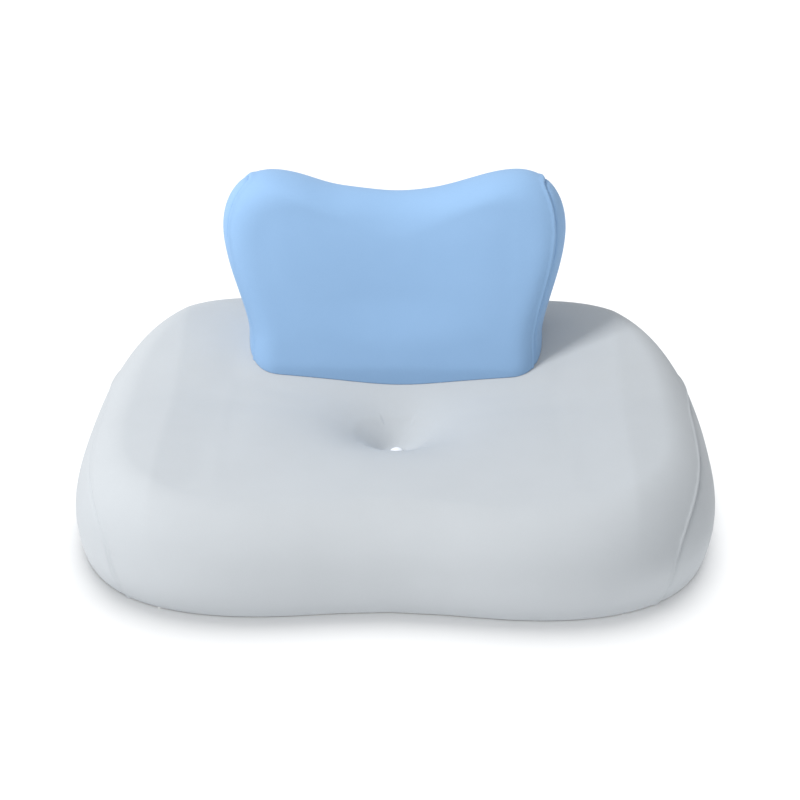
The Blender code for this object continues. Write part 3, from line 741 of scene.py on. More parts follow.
# %% Back form
BACK_KNOTS = (  # x, z, handle direction in degrees and length: right half, from the dip down to the foot
    (0.000, 0.303, 0, 0.052),
    (0.141, 0.326, 0, 0.032),
    (0.194, 0.264, -90, 0.036),
    (0.169, 0.142, -90, 0.030),
    (0.156, 0.050, 180, 0.010),
    (0.000, 0.046, 180, 0.050),
)
BACK_CENTRE = Vector((0.0, 0.205))
BACK_FOOT_Z, BACK_TOP_Z = 0.120, 0.326
FOOT_THICKNESS, TOP_THICKNESS = 0.104, 0.074
BACK_LEAN = math.radians(8)
BACK_SHOULDER = (0.046, 0.050)  # breadth of the rounded edge, front and rear
BACK_SHOULDER_SHAPE = (2.8, 2.0)  # inner and outer exponent
BACK_ARCH = (0.031, 0.037, 0.270)  # half depth of the left and right side panels, and their height
BACK_ARCH_Z, BACK_ARCH_X = 0.05, 0.139


def half_outline(knots, steps):
    """Points down one half of the outline."""
    points = []
    for (x1, z1, turn1, reach1), (x2, z2, turn2, reach2) in zip(knots, knots[1:]):
        start, end = Vector((x1, z1)), Vector((x2, z2))
        out = start + reach1 * Vector((math.cos(math.radians(turn1)), math.sin(math.radians(turn1))))
        back = end - reach2 * Vector((math.cos(math.radians(turn2)), math.sin(math.radians(turn2))))
        points += [Vector(point[:2]) for point in interpolate_bezier(start, out, back, end, steps + 1)[:-1]]
    return points


def back_outline(steps):
    """The whole outline, anticlockwise as seen from the front, starting at the foot's middle."""
    right = half_outline(BACK_KNOTS, steps)
    foot = Vector((0.0, BACK_KNOTS[-1][1]))
    left = [Vector((-point.x, point.y)) for point in right]
    return np.array([foot, *reversed(right[1:]), right[0], *left[1:]])


def back_sides(x, z):
    """Where the front and rear faces lie, before their edges round off."""
    climb = z - BACK_FOOT_Z
    middle = LEG_Y + math.tan(BACK_LEAN) * np.maximum(climb, 0)
    share = smooth_step(climb / (BACK_TOP_Z - BACK_FOOT_Z))
    half = (FOOT_THICKNESS + (TOP_THICKNESS - FOOT_THICKNESS) * share) / 2
    hollow = 0.010 * np.exp(-((x / 0.100) ** 2)) * smooth_step(climb / 0.080)
    return middle - half + hollow, middle + half


def lean_and_stretch(points):
    """A hand-filled cushion's unevenness: it sits a little to the left, and its lobes differ."""
    x, y, z = points[..., 0], points[..., 1], points[..., 2]
    lobe = smooth_step((z - 0.20) / 0.10)
    left = smooth_step((-x - 0.10) / 0.09) * smooth_step((z - 0.13) / 0.10)
    right = smooth_step((x - 0.04) / 0.08) * lobe
    dip = np.exp(-(((x + 0.075) / 0.030) ** 2)) * lobe
    sideways = x - 0.0042 - 0.0030 * left - 0.0018 * right
    return np.stack([sideways, y, z + 0.0030 * right - 0.0030 * dip * lobe], axis=-1)


def back_grid(steps, rings):
    """Rings from the front face's middle, round the edge, to the rear face's middle."""
    outline = back_outline(steps)
    centre = np.array(BACK_CENTRE)
    edge = outline - centre
    reach = np.linalg.norm(edge, axis=1)
    turn = np.linspace(0.05, math.pi - 0.05, rings)
    share = np.sin(turn)[:, None] ** 1.5
    flat = centre + edge[None] * share[..., None]
    front, rear = back_sides(flat[..., 0], flat[..., 1])
    middle = (front + rear) / 2
    facing = (turn < math.pi / 2)[:, None]
    breadth = np.where(facing, *BACK_SHOULDER)
    rounded = shoulder(reach * (1 - share), breadth, *BACK_SHOULDER_SHAPE)
    depth = middle + (np.where(facing, front, rear) - middle) * rounded
    return lean_and_stretch(np.stack([flat[..., 0], depth, flat[..., 1]], axis=2))


BACK_STEPS, BACK_RINGS = 11, 49
back_coarse = back_grid(BACK_STEPS, BACK_RINGS)
BACK_LIFT = 0.0006  # the back cushion's foot clears the seat's cloth by this much


def above_seat(points):
    return points[..., 2] - seat_top(points[..., 0], points[..., 1]) - BACK_LIFT


def back_held(points):
    foot = 1 - smooth_step((above_seat(points) - 0.006) / 0.030)
    return np.clip(np.maximum(foot, 0.9 * np.exp(-((back_seam(points) / 0.008) ** 2))), 0, 1)


def back_middle(z):
    """The leaning middle plane's y."""
    return LEG_Y + math.tan(BACK_LEAN) * (z - BACK_FOOT_Z)


def back_seam(points):
    """Distance from the side panels' seam: an upright arch about the leaning middle plane."""
    x, y, z = points[..., 0], points[..., 1], points[..., 2]
    half_depth = BACK_ARCH[0] + (BACK_ARCH[1] - BACK_ARCH[0]) * smooth_step((x + 0.1) / 0.2)
    outside = arch_distance(y - back_middle(z), z - BACK_ARCH_Z, half_depth, BACK_ARCH[2])
    return np.maximum(outside, BACK_ARCH_X - np.abs(x))


back_travel = swollen("back cloth", back_coarse, back_held(back_coarse))
back_pattern = back_grid(2 * BACK_STEPS, 2 * BACK_RINGS - 1)
back_points = back_pattern + refine(back_travel)
print("back cloth:", back_points.shape[0] * back_points.shape[1], "points")

# %% [markdown]
# ## Sewing the back cover
# The same cuts make the back's seams. The form runs on below the seat's surface, so the cloth
# is trimmed where it would meet the seat, and a base panel closes it there. That way the foot
# follows every dip of the seat that it rests on.

# %% Back cover
BACK_ZIP_HALF, BACK_ZIP_Z = 0.105, 0.172
BACK_SLOT_HALF = BACK_ZIP_HALF + 0.0012
back_zip_rear = back_sides(0.0, BACK_ZIP_Z)[1]
back_zip_tilt = -math.atan2(back_sides(0.0, BACK_ZIP_Z + 0.001)[1] - back_zip_rear, 0.001)


def back_weave(points):
    """Distance from the nearer face's middle, in the spoke's direction."""
    distance = along_rings(points, around_start=False)
    distance = np.minimum(distance, distance[-1:] - distance)
    heading = np.arctan2(points[..., 2] - BACK_CENTRE.y, points[..., 0])
    return np.stack([distance * np.cos(heading), distance * np.sin(heading)], axis=2)


def back_fields(pattern):
    x, y, z = pattern[..., 0], pattern[..., 1], pattern[..., 2]
    up = (z - BACK_ZIP_Z) / math.cos(back_zip_tilt)
    slot = slot_distance(x, up, BACK_SLOT_HALF, ZIP_OPENING)
    slot = slot + np.where(y > back_middle(z), 0.0, ELSEWHERE)
    return {"seam": back_seam(pattern), "above": above_seat(pattern), "slot": slot}


back_cloth = cloth_sheet(back_points, back_weave(back_pattern), back_fields(back_pattern),
                         poles=((0, 1), (1, -1)))
cut_at(back_cloth, "above", [0, 0.0008, 0.0020, 0.0035])
drop_below(back_cloth, "above")
cut_at(back_cloth, "seam", [at for at, _ in SEAM_PROFILE])
cut_at(back_cloth, "slot", HEM_CUTS)
drop_below(back_cloth, "slot")
raise_profile(back_cloth, "seam", SEAM_PROFILE)
raise_profile(back_cloth, "slot", HEM_PROFILE)


def rim_loop(bm, test):
    """The open edge that a test picks, as points in order."""
    edges = [edge for edge in bm.edges if edge.is_boundary and all(test(vert) for vert in edge.verts)]
    after = {}
    for edge in edges:
        for one, other in (edge.verts, reversed(edge.verts)):
            after.setdefault(one, []).append(other)
    first = next(iter(after))
    chain, previous, current = [first], None, first
    while True:
        following = [vert for vert in after[current] if vert is not previous]
        if not following or following[0] is first:
            break
        previous, current = current, following[0]
        chain.append(current)
    return np.array([tuple(vert.co) for vert in chain])


above_layer = back_cloth.verts.layers.float["above"]
foot_rim = rim_loop(back_cloth, lambda vert: abs(vert[above_layer]) < 2e-4)
back_cover, back_side_left, back_side_right = sewn_panels(
    back_cloth, "back_cover", "back_side_left", "back_side_right", blue_knit)
print("foot rim:", len(foot_rim), "points")
for made in (seat_cover, seat_end_left, seat_end_right):
    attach(made, "root")
for made in (back_cover, back_side_left, back_side_right):
    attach(made, "backrest")
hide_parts("seat_cover_main")
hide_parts("seat_gusset_left")
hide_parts("seat_gusset_right")
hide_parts("back_cover_main")
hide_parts("back_gusset_left")
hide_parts("back_gusset_right")

# %% [markdown]
# ## Repeats by Geometry Nodes
# Zip teeth, stitches and anti-slip dots are one small shape repeated along a line or over a
# grid. The script works out where each copy goes, and a node group puts the shape there. The
# result is then turned into a plain mesh, so no modifier is left on the piece.

# %% Repeats
def repeat_group(name, material):
    """A node group: an instance of Shape on every point of the host, turned by its "turn" attribute."""
    group = bpy.data.node_groups.new(name, "GeometryNodeTree")
    group.interface.new_socket("Geometry", in_out="INPUT", socket_type="NodeSocketGeometry")
    shape = group.interface.new_socket("Shape", in_out="INPUT", socket_type="NodeSocketObject")
    group.interface.new_socket("Geometry", in_out="OUTPUT", socket_type="NodeSocketGeometry")
    start, end, info, turn, rotation, copies, real, finish = (group.nodes.new(kind) for kind in (
        "NodeGroupInput", "NodeGroupOutput", "GeometryNodeObjectInfo", "GeometryNodeInputNamedAttribute",
        "FunctionNodeEulerToRotation", "GeometryNodeInstanceOnPoints", "GeometryNodeRealizeInstances",
        "GeometryNodeSetMaterial"))
    turn.data_type = "FLOAT_VECTOR"
    turn.inputs["Name"].default_value = "turn"
    finish.inputs["Material"].default_value = material
    for out, into in (
        (start.outputs["Geometry"], copies.inputs["Points"]),
        (start.outputs["Shape"], info.inputs["Object"]),
        (info.outputs["Geometry"], copies.inputs["Instance"]),
        (turn.outputs["Attribute"], rotation.inputs["Euler"]),
        (rotation.outputs["Rotation"], copies.inputs["Rotation"]),
        (copies.outputs["Instances"], real.inputs["Geometry"]),
        (real.outputs["Geometry"], finish.inputs["Geometry"]),
        (finish.outputs["Geometry"], end.inputs["Geometry"]),
    ):
        group.links.new(out, into)
    return group, shape.identifier


def frame_turn(along, outward):
    """The Euler turn that takes a shape's X to one direction and its Z to another."""
    across = np.cross(outward, along)
    across /= np.linalg.norm(across)
    outward = np.cross(along, across)
    return Matrix((along, across, outward)).transposed().to_euler()


def repeated(name, spots, turns, shape, material):
    """One plain mesh with a copy of a small bmesh shape at every spot."""
    for face in shape.faces:
        face.smooth = True
    seed = solid_object(f"{name}_shape", shape)
    made = plain_object(name, np.array(spots), [])
    turn = made.data.attributes.new("turn", "FLOAT_VECTOR", "POINT")
    turn.data.foreach_set("vector", np.array([tuple(one) for one in turns], dtype=np.float32).reshape(-1))
    group, identifier = repeat_group(f"{name}_copies", material)
    modifier = made.modifiers.new("copies", "NODES")
    modifier.node_group = group
    modifier[identifier] = seed
    made.update_tag()
    bpy.context.view_layer.update()
    to_plain_mesh(made)
    if "turn" in made.data.attributes:
        made.data.attributes.remove(made.data.attributes["turn"])
    if not made.data.materials:
        made.data.materials.append(material)
    bpy.data.objects.remove(seed)
    bpy.data.node_groups.remove(group)
    print(name, len(spots), "copies,", len(made.data.polygons), "faces")
    return made


def pill(length, breadth, height):
    """A small rounded bar along X, lying on z = 0 by its middle."""
    bm = bmesh.new()
    bmesh.ops.create_uvsphere(bm, u_segments=8, v_segments=6, radius=0.5)
    for vert in bm.verts:
        stretch = (length - breadth) / 2
        x = vert.co.x * breadth + math.copysign(stretch, vert.co.x) if abs(vert.co.x) > 1e-6 else 0.0
        vert.co = (x, vert.co.y * breadth, vert.co.z * height)
    return bm


def joined(name, parts):
    """Several plain objects made one."""
    bm = bmesh.new()
    slots = []
    for part in parts:
        start = len(bm.faces)
        bm.from_mesh(part.data)
        bm.faces.ensure_lookup_table()
        material = part.data.materials[0]
        if material not in slots:
            slots.append(material)
        for face in bm.faces[start:]:
            face.material_index = slots.index(material)
    mesh = bpy.data.meshes.new(name)
    bm.to_mesh(mesh)
    bm.free()
    for material in slots:
        mesh.materials.append(material)
    for part in parts:
        bpy.data.objects.remove(part)
    return in_scene(name, mesh)


# %% [markdown]
# ## Stitching
# A line of thread runs round each zip opening and each leg hole. Each stitch is a small rounded
# bar that sinks halfway into the cloth. The finished cover is asked where its surface lies, so
# the thread follows the swollen cloth.

# %% Stitches
THREAD = 0.00055
STITCH, STITCH_PITCH = 0.0026, 0.0036


def thread_material(name, color):
    """Thread with a fine twist."""
    material, shader = new_material(name, color, 0.6, Sheen_Weight=0.2)
    place = object_place(material)
    twist = add_node(material, "ShaderNodeTexWave", {"Vector": place, "Scale": 900.0, "Distortion": 0.0})
    bump(material, shader, twist.outputs["Fac"], 0.00005, 0.6)
    return material


grey_thread = thread_material("grey_thread", (0.56, 0.59, 0.62))
blue_thread = thread_material("blue_thread", (0.30, 0.50, 0.78))


def spaced(loop, pitch):
    """Points at an even pitch along a closed loop, each with its direction."""
    closed = np.vstack([loop, loop[:1]])
    lengths = np.concatenate([[0], np.cumsum(np.linalg.norm(np.diff(closed, axis=0), axis=1))])
    count = max(int(lengths[-1] / pitch), 3)
    at = np.arange(count) * lengths[-1] / count
    spots = np.stack([np.interp(at, lengths, closed[:, axis]) for axis in range(3)], axis=1)
    ahead = np.roll(spots, -1, axis=0) - np.roll(spots, 1, axis=0)
    return spots, ahead / np.linalg.norm(ahead, axis=1, keepdims=True)


def sewn_line(name, cover, loop, sight, material):
    """Stitches along a loop, dropped on the cover along the sight direction."""
    spots, ahead = spaced(loop, STITCH_PITCH)
    places, turns = [], []
    for spot, along in zip(spots, ahead):
        hit, where, normal, _ = cover.ray_cast(Vector(spot) - 0.05 * Vector(sight), sight, distance=0.10)
        if not hit:
            continue
        along = Vector(along) - normal * Vector(along).dot(normal)
        places.append(tuple(where))
        turns.append(frame_turn(np.array(along.normalized()), np.array(normal)))
    return repeated(name, places, turns, pill(STITCH, THREAD, THREAD), material)


def slot_loop(half_length, half_height, steps=12):
    """A rounded slot's outline as (along, up), anticlockwise."""
    turn = np.linspace(-math.pi / 2, math.pi / 2, steps + 1)
    straight = half_length - half_height
    right = np.stack([straight + half_height * np.cos(turn), half_height * np.sin(turn)], axis=1)
    return np.vstack([right, -right])


HEM_AWAY = 0.0028  # from the folded edge to the stitching
loop = slot_loop(SEAT_ZIP_HALF + HEM_AWAY, ZIP_OPENING + HEM_AWAY)
zip_line = np.stack([loop[:, 0], np.full(len(loop), 0.26), SEAT_ZIP_Z + loop[:, 1]], axis=1)
seat_zip_stitches = sewn_line("seat_zip_stitches", seat_cover, zip_line, Vector((0, -1, 0)), grey_thread)
LEG_HOLE_POINTS = 32
HOLE_SIGHT_Z = 0.14  # the loop lies here, above the cloth, before it is dropped
round_turn = np.arange(LEG_HOLE_POINTS) / LEG_HOLE_POINTS * math.tau
hole_lines = []
for side in (-1, 1):
    ring = LEG_HOLE + HEM_AWAY
    circle = np.stack([side * LEG_X + ring * np.cos(round_turn), LEG_Y + ring * np.sin(round_turn),
                       np.full(LEG_HOLE_POINTS, HOLE_SIGHT_Z)], axis=1)
    hole_lines.append(sewn_line(f"leg_hole_stitches_{side}", seat_cover, circle, Vector((0, 0, -1)),
                                grey_thread))
seat_stitches = joined("seat_stitches", [seat_zip_stitches, *hole_lines])

loop = slot_loop(BACK_ZIP_HALF + HEM_AWAY, ZIP_OPENING + HEM_AWAY)
zip_line = np.stack([loop[:, 0], np.full(len(loop), back_zip_rear), BACK_ZIP_Z + loop[:, 1]], axis=1)
back_stitches = sewn_line("back_stitches", back_cover, zip_line, Vector((0, -1, 0)), blue_thread)
for made, body, finish in ((seat_stitches, "root", "grey_cloth"), (back_stitches, "backrest", "blue_cloth")):
    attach(made, body)

# %% [markdown]
# ## Bases
# The underside of the seat is a dark woven cloth with rows of soft dots that grip the floor.
# The back cushion's base is the same cloth. It fills the foot's rim, follows the seat's surface,
# and has a hole for each leg of the hoop.

# %% Base cloths
def woven(name, dark, light, pitch):
    """A plain weave on Object coordinates: threads that pass over and under."""
    material, shader = new_material(name, light, 0.92, Sheen_Weight=0.1)
    place = object_place(material)
    threads = [wave(material, along, pitch) for along in axes(material, place)[:2]]
    share = halved(material, math_node(material, "MULTIPLY", *threads))
    tinted(material, shader, share, dark, light)
    bump(material, shader, share, 0.00015, 0.7)
    return material


base_weave = woven("base_weave", (0.060, 0.064, 0.070), (0.105, 0.112, 0.120), 0.0016)
grip_rubber, _ = new_material("grip_rubber", (0.030, 0.032, 0.035), 0.7)

BASE_TOP = 0.0016
BASE_UNDER = 0.0006
BASE_EDGE = 0.0003  # how far the base's edge is chamfered
DOT_RADIUS, DOT_PITCH = 0.0016, 0.0125
DOT_ROWS, DOT_COLUMNS = 22, 30  # on each side of the middle
ROW_RATIO = 0.866  # of the pitch, which sets the dots in a triangular grid
DOTS_AWAY = 0.014  # from the floor outline to the nearest dot
FLOOR_SPOKES = 240


def floor_outline(longitude, inwards):
    """The seat's outline where its side meets the floor, drawn in a little."""
    x, y = seat_outline(longitude)
    reach = np.hypot(x, y)
    turn = math.asin(RIM_HEIGHT / (RIM_HEIGHT - UNDERSIDE))
    share = 1 - (SEAT_TUCK * (1 - math.cos(turn)) + inwards) / reach
    return x * share, y * share


longitude = np.arange(FLOOR_SPOKES) / FLOOR_SPOKES * math.tau
levels = ((0.0018, BASE_TOP), (0.0012, BASE_TOP - BASE_EDGE),
          (0.0012, BASE_UNDER + BASE_EDGE), (0.0018, BASE_UNDER))
bm = bmesh.new()
rows = []
for inwards, height in levels:
    ring = np.stack([*floor_outline(longitude, inwards), np.full(FLOOR_SPOKES, height)], axis=1)
    rows.append([bm.verts.new(spot) for spot in ring])
bridge(bm, rows)
bm.faces.new(rows[0])
bm.faces.new(rows[-1][::-1])
bmesh.ops.recalc_face_normals(bm, faces=bm.faces)
slab = solid_object("base_slab", bm, base_weave)

dots = []
for row in range(-DOT_ROWS, DOT_ROWS + 1):
    for column in range(-DOT_COLUMNS, DOT_COLUMNS + 1):
        x, y = (column + 0.5 * (row % 2)) * DOT_PITCH, row * DOT_PITCH * ROW_RATIO
        edge_x, edge_y = floor_outline(np.array([math.atan2(y - WIDEST_LINE_Y, x)]), DOTS_AWAY)
        if math.hypot(x, y) < math.hypot(edge_x[0], edge_y[0]):
            dots.append((x, y, BASE_UNDER))
grip = repeated("grip_dots", dots, [(0, 0, 0)] * len(dots),
                pill(2 * DOT_RADIUS, 2 * DOT_RADIUS, 2 * BASE_UNDER), grip_rubber)
seat_base = joined("seat_base", [slab, grip])
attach(seat_base, "root")
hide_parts("seat_base_cloth")

# The back's base: rings of the foot's rim, drawn towards its middle and laid on the seat.
rim_middle = foot_rim.mean(axis=0)
shares = np.concatenate([[0.987], np.linspace(0.96, 0.04, 22)])
laid = rim_middle[:2] + (foot_rim[None, :, :2] - rim_middle[:2]) * shares[:, None, None]
laid = np.concatenate([laid, (seat_top(laid[..., 0], laid[..., 1]) + BACK_LIFT)[..., None]], axis=2)
holes = leg_distance(laid[..., 0], laid[..., 1]) - LEG_HOLE
foot_cloth = cloth_sheet(laid, laid[..., :2], {"hole": holes}, poles=((1, 1),))
cut_at(foot_cloth, "hole", [0, 0.0012])
drop_below(foot_cloth, "hole")
bmesh.ops.recalc_face_normals(foot_cloth, faces=foot_cloth.faces)
if sum(face.normal.z for face in foot_cloth.faces) > 0:
    bmesh.ops.reverse_faces(foot_cloth, faces=foot_cloth.faces)
back_base = panel(foot_cloth, "back_base", lambda face: True, base_weave)
foot_cloth.free()
to_plain_mesh(thicken(back_base, CLOTH))
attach(back_base, "backrest")
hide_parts("back_base_cloth")
print("bases:", len(seat_base.data.polygons), "and", len(back_base.data.polygons), "faces;",
      len(dots), "dots")

# %% [markdown]
# ## Foam
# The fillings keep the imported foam's form, with its channels for the legs, the cord, the board
# and the hoop. Open-cell foam is matt and finely pitted, so its material mixes two sizes of
# cell. The back's filling leans and stretches as its cover does, except beside the hoop.

# %% Foam
def foam_material():
    """Two sizes of cell, as pits in the relief and as painted shade that darkens each pit."""
    material, shader = new_material("foam_cells", (0.80, 0.74, 0.56), 0.95)
    place = object_place(material)
    fine = add_node(material, "ShaderNodeTexVoronoi", {"Vector": place, "Scale": 900.0})
    coarse = add_node(material, "ShaderNodeTexVoronoi", {"Vector": place, "Scale": 330.0})
    pit_relief_and_shade = blended(material, fine.outputs["Distance"], 0.6, coarse.outputs["Distance"])
    # Painted shade: the colour darkens towards the bottom of each pit, following the relief.
    tinted(material, shader, pit_relief_and_shade, (0.55, 0.49, 0.34), (0.86, 0.81, 0.64))
    bump(material, shader, pit_relief_and_shade, 0.0004, 0.8)
    return material


foam_cells = foam_material()
HOOP_TOP_Z, KNEE_Z = 0.262, BACK_FOOT_Z + 0.03
KNEE_BEND, UPPER_BEND = 0.060, 0.040  # radii of the hoop's bends
HOOP_ROOM = 0.0125  # the foam's channel keeps its place this close to the hoop's line
FOAM_SLACK = 0.0016  # how far the filling draws in below its cover


def near_hoop(points):
    """1 beside the hoop's legs, bends and crossbar, and 0 a few millimetres away."""
    x, y, z = points.T
    lean = LEG_Y + np.tan(BACK_LEAN) * np.maximum(z - KNEE_Z, 0)
    leg = np.hypot(np.abs(x) - LEG_X, y - lean)
    bar = np.hypot(z - HOOP_TOP_Z, y - lean) + np.maximum(np.abs(x) - LEG_X, 0)
    aside = np.maximum(np.abs(x) - (LEG_X - UPPER_BEND), 0)
    above = np.maximum(z - (HOOP_TOP_Z - UPPER_BEND), 0)
    bend = np.hypot(np.hypot(aside, above) - UPPER_BEND, y - lean)
    bend = np.where((np.abs(x) > 0.055) & (z > 0.21), bend, 1.0)
    return np.minimum(np.minimum(leg, bar), bend) < HOOP_ROOM


def foam_copy(name, node, keeps, stretch=None):
    """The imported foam, drawn in below its cover except where a test keeps it."""
    bm = bmesh.new()
    bm.from_mesh(nodes[node].data)
    bmesh.ops.remove_doubles(bm, verts=bm.verts, dist=2e-5)
    bmesh.ops.dissolve_degenerate(bm, edges=bm.edges, dist=1e-5)
    bm.normal_update()
    spots = np.array([tuple(vert.co) for vert in bm.verts])
    kept = keeps(spots)
    drawn = spots - np.array([tuple(vert.normal) for vert in bm.verts]) * FOAM_SLACK
    if stretch:
        drawn = stretch(drawn)
    for vert, still, spot in zip(bm.verts, kept, drawn):
        if not still:
            vert.co = spot
    made = solid_object(name, bm, foam_cells, 35)
    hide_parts(node)
    return made


def seat_bores(points):
    """The seat foam's inner walls and its underside, which stay as packed."""
    x, y, z = points.T
    legs = leg_distance(x, y) < 0.027
    cord_hole = (np.hypot(x, y) < 0.0145) & (z < seat_top(x, y) - 0.003)
    pocket = (np.abs(x) < 0.175) & (np.abs(y - LEG_Y) < 0.09) & (z < 0.02)
    zip_room = (y > 0.235) & (np.abs(x) < 0.12) & (np.abs(z - SEAT_ZIP_Z) < 0.009)
    return legs | cord_hole | pocket | zip_room | (z < 0.0035)


seat_foam = foam_copy("seat_foam", "seat_foam_core", seat_bores)
back_foam = foam_copy("back_foam", "back_foam_core", near_hoop, lean_and_stretch)
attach(seat_foam, "root")
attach(back_foam, "backrest")
print("foam:", len(seat_foam.data.polygons), "and", len(back_foam.data.polygons), "faces")

# %% [markdown]
# ## Button
# The tuft's button is a small moulded dome with a rolled edge and a shank that the cord is
# tied to. It is turned from a profile, with a satin finish.

# %% Tuft button
def lathe(name, profile, centre, material, sides=48):
    """A closed turned shape from a profile of (radius, height) that starts and ends on the axis."""
    bm = bmesh.new()
    turns = np.arange(sides) / sides * math.tau
    rows = []
    for radius, height in profile:
        around = turns if radius else turns[:1]
        rows.append([bm.verts.new((centre[0] + radius * math.cos(turn), centre[1] + radius * math.sin(turn),
                                   centre[2] + height)) for turn in around])
    bridge(bm, rows)
    bmesh.ops.recalc_face_normals(bm, faces=bm.faces)
    return solid_object(name, bm, material, 40)


satin_white, _ = new_material("satin_white", (0.90, 0.91, 0.94), 0.32, Coat_Weight=0.3, Coat_Roughness=0.25)
button_seat = float(seat_top(np.array(0.0), np.array(0.0))) + 0.0003
BUTTON_RADIUS, BUTTON_RIM, BUTTON_RISE = 0.0075, 0.0010, 0.0047
dome = [(BUTTON_RADIUS * math.sin(turn), BUTTON_RIM + BUTTON_RISE * math.cos(turn))
        for turn in np.linspace(0, math.pi / 2, 16)]
edge = [(0.0075, 0.0006), (0.0073, 0.0002), (0.0069, 0.0)]
shank = [(0.0034, 0.0), (0.0030, -0.0004), (0.0030, -0.0038), (0.0028, -0.0040), (0.0, -0.0040)]
button = lathe("button", dome + edge + shank, (0, 0, button_seat), satin_white)
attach(button, "root")
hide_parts("tuft_button")

# %% [markdown]
# ## Steel hoop
# The hoop is a bent steel tube with open ends, hidden in the back cushion except for its two
# legs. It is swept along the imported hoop's path, with finer bends and a bore at each end.

# %% Hoop
HOOP_RADIUS, TUBE_WALL = 0.008, 0.0012
HOOP_FOOT_Z = 0.0126


def rounded_path(corners, radii, steps):
    """The corner points of a bent tube, each inner corner replaced by an arc."""
    path = [corners[0]]
    for before, corner, after, radius in zip(corners, corners[1:], corners[2:], radii):
        to_before, to_after = (before - corner).normalized(), (after - corner).normalized()
        half = to_before.angle(to_after) / 2
        centre = corner + (to_before + to_after).normalized() * radius / math.sin(half)
        start = (corner + to_before * radius / math.tan(half) - centre).normalized()
        end = (corner + to_after * radius / math.tan(half) - centre).normalized()
        path += [centre + start.slerp(end, step / steps) * radius for step in range(steps + 1)]
    return path + [corners[-1]]


def swept_tube(name, path, radius, wall, bore_depth, material, sides=28):
    """A tube along a path, with a blind bore at each end."""
    inner = radius - wall
    start, finish = path[0], path[-1]
    into_start = (path[1] - start).normalized() * bore_depth
    into_finish = (path[-2] - finish).normalized() * bore_depth
    stations = [(start + into_start, inner), (start, inner), (start, radius)]
    stations += [(point, radius) for point in path[1:-1]]
    stations += [(finish, radius), (finish, inner), (finish + into_finish, inner)]
    bm = bmesh.new()
    rows, normal = [], Vector((0, 1, 0))
    centres = [spot for spot, _ in stations]
    for index, (spot, size) in enumerate(stations):
        if index < 3:
            ahead = path[1] - path[0]
        elif index > len(stations) - 4:
            ahead = path[-1] - path[-2]
        else:
            ahead = centres[index + 1] - centres[index - 1]
        ahead.normalize()
        normal = (normal - ahead * normal.dot(ahead)).normalized()
        across = ahead.cross(normal)
        rows.append([bm.verts.new(spot + size * (math.cos(step / sides * math.tau) * normal
                                                 + math.sin(step / sides * math.tau) * across))
                     for step in range(sides)])
    bridge(bm, rows)
    bm.faces.new(rows[0])
    bm.faces.new(rows[-1][::-1])
    bmesh.ops.recalc_face_normals(bm, faces=bm.faces)
    return solid_object(name, bm, material, 40)


ROUGH_RANGE = 0.18  # how much a metal's roughness varies


def metal(name, color, roughness, scratch):
    """Metal with fine drawn marks that break up its reflections."""
    material, shader = new_material(name, color, roughness, 1.0)
    place = object_place(material)
    marks = noise(material, place, 260.0, 4.0)
    uneven = math_node(material, "MULTIPLY", marks, ROUGH_RANGE)
    rough = math_node(material, "ADD", uneven, roughness - ROUGH_RANGE / 2)
    material.node_tree.links.new(rough, shader.inputs["Roughness"])
    bump(material, shader, marks, scratch, 0.4)
    return material


bright_steel = metal("bright_steel", (0.60, 0.61, 0.63), 0.30, 0.00002)
zip_plate = metal("zip_plate", (0.66, 0.67, 0.69), 0.26, 0.00001)
hoop_top_y = LEG_Y + math.tan(BACK_LEAN) * (HOOP_TOP_Z - KNEE_Z)
right = [Vector((LEG_X, y, z))
         for y, z in ((hoop_top_y, HOOP_TOP_Z), (LEG_Y, KNEE_Z), (LEG_Y, HOOP_FOOT_Z))]
left = [Vector((-corner.x, corner.y, corner.z)) for corner in reversed(right)]
hoop_path = rounded_path(left + right, (KNEE_BEND, UPPER_BEND, UPPER_BEND, KNEE_BEND), 14)
hoop = swept_tube("hoop", hoop_path, HOOP_RADIUS, TUBE_WALL, 0.030, bright_steel)
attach(hoop, "backrest")
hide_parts("back_hoop")
print("hoop:", len(hoop.data.polygons), "faces")

# %% [markdown]
# ## Zips
# Both zips are coil zips. Geometry Nodes places the coil's teeth in two interlocked rows over
# a thin core. The slider is a saddle with a flared mouth and a bridge, and its pull is a
# flat tab with an eye and a rounded tail. Each is built flat, then turned into its zip's plane.

# %% Zip tools
SADDLE_GAP = 0.0003
TOOTH_PITCH = 0.00125
TOOTH = (0.00085, 0.0028, 0.0012)  # along the zip, across it and out of the cloth
ROW_AWAY = 0.00088  # from the zip's middle line to the middle of a tooth
CHAIN_HEIGHT = 0.0014
ZIP_STOP_LENGTH, ZIP_SUNK = 0.0033, 0.0012
SADDLE_Y = CHAIN_HEIGHT + SADDLE_GAP  # the slider's plate lies over the chain from here
PLATE, BRIDGE_CLEAR, STRAP = 0.0012, 0.0021, 0.0010
HALF_BRIDGE, STRAP_HALF, BRIDGE_SUNK = 0.0035, 0.001, 0.0003
SLIDER_LENGTH, SLIDER_BREADTH = 0.0090, 0.0080
PULL_LENGTH, PULL_BREADTH, PULL_THICK = 0.0240, 0.0062, 0.0012
PULL_EYE = (0.0078, 0.0032)

coil_nylon, _ = new_material("coil_nylon", (0.36, 0.38, 0.41), 0.42)


def zip_frame(place, tilt):
    """From a zip's own axes (along, out of the cloth, up) to the row frame."""
    return Matrix.Translation(place) @ Matrix.Rotation(tilt, 4, "X")


def outline_plate(bm, outline, hole, low, high):
    """A flat plate between two heights, with a hole of as many points as its outline."""
    rows = [[bm.verts.new((x, height, z)) for x, z in loop]
            for loop, height in ((outline, low), (outline, high), (hole, high), (hole, low))]
    count = len(outline)
    for one, other in zip(rows, rows[1:] + rows[:1]):
        for index in range(count):
            following = (index + 1) % count
            bm.faces.new((one[index], one[following], other[following], other[index]))


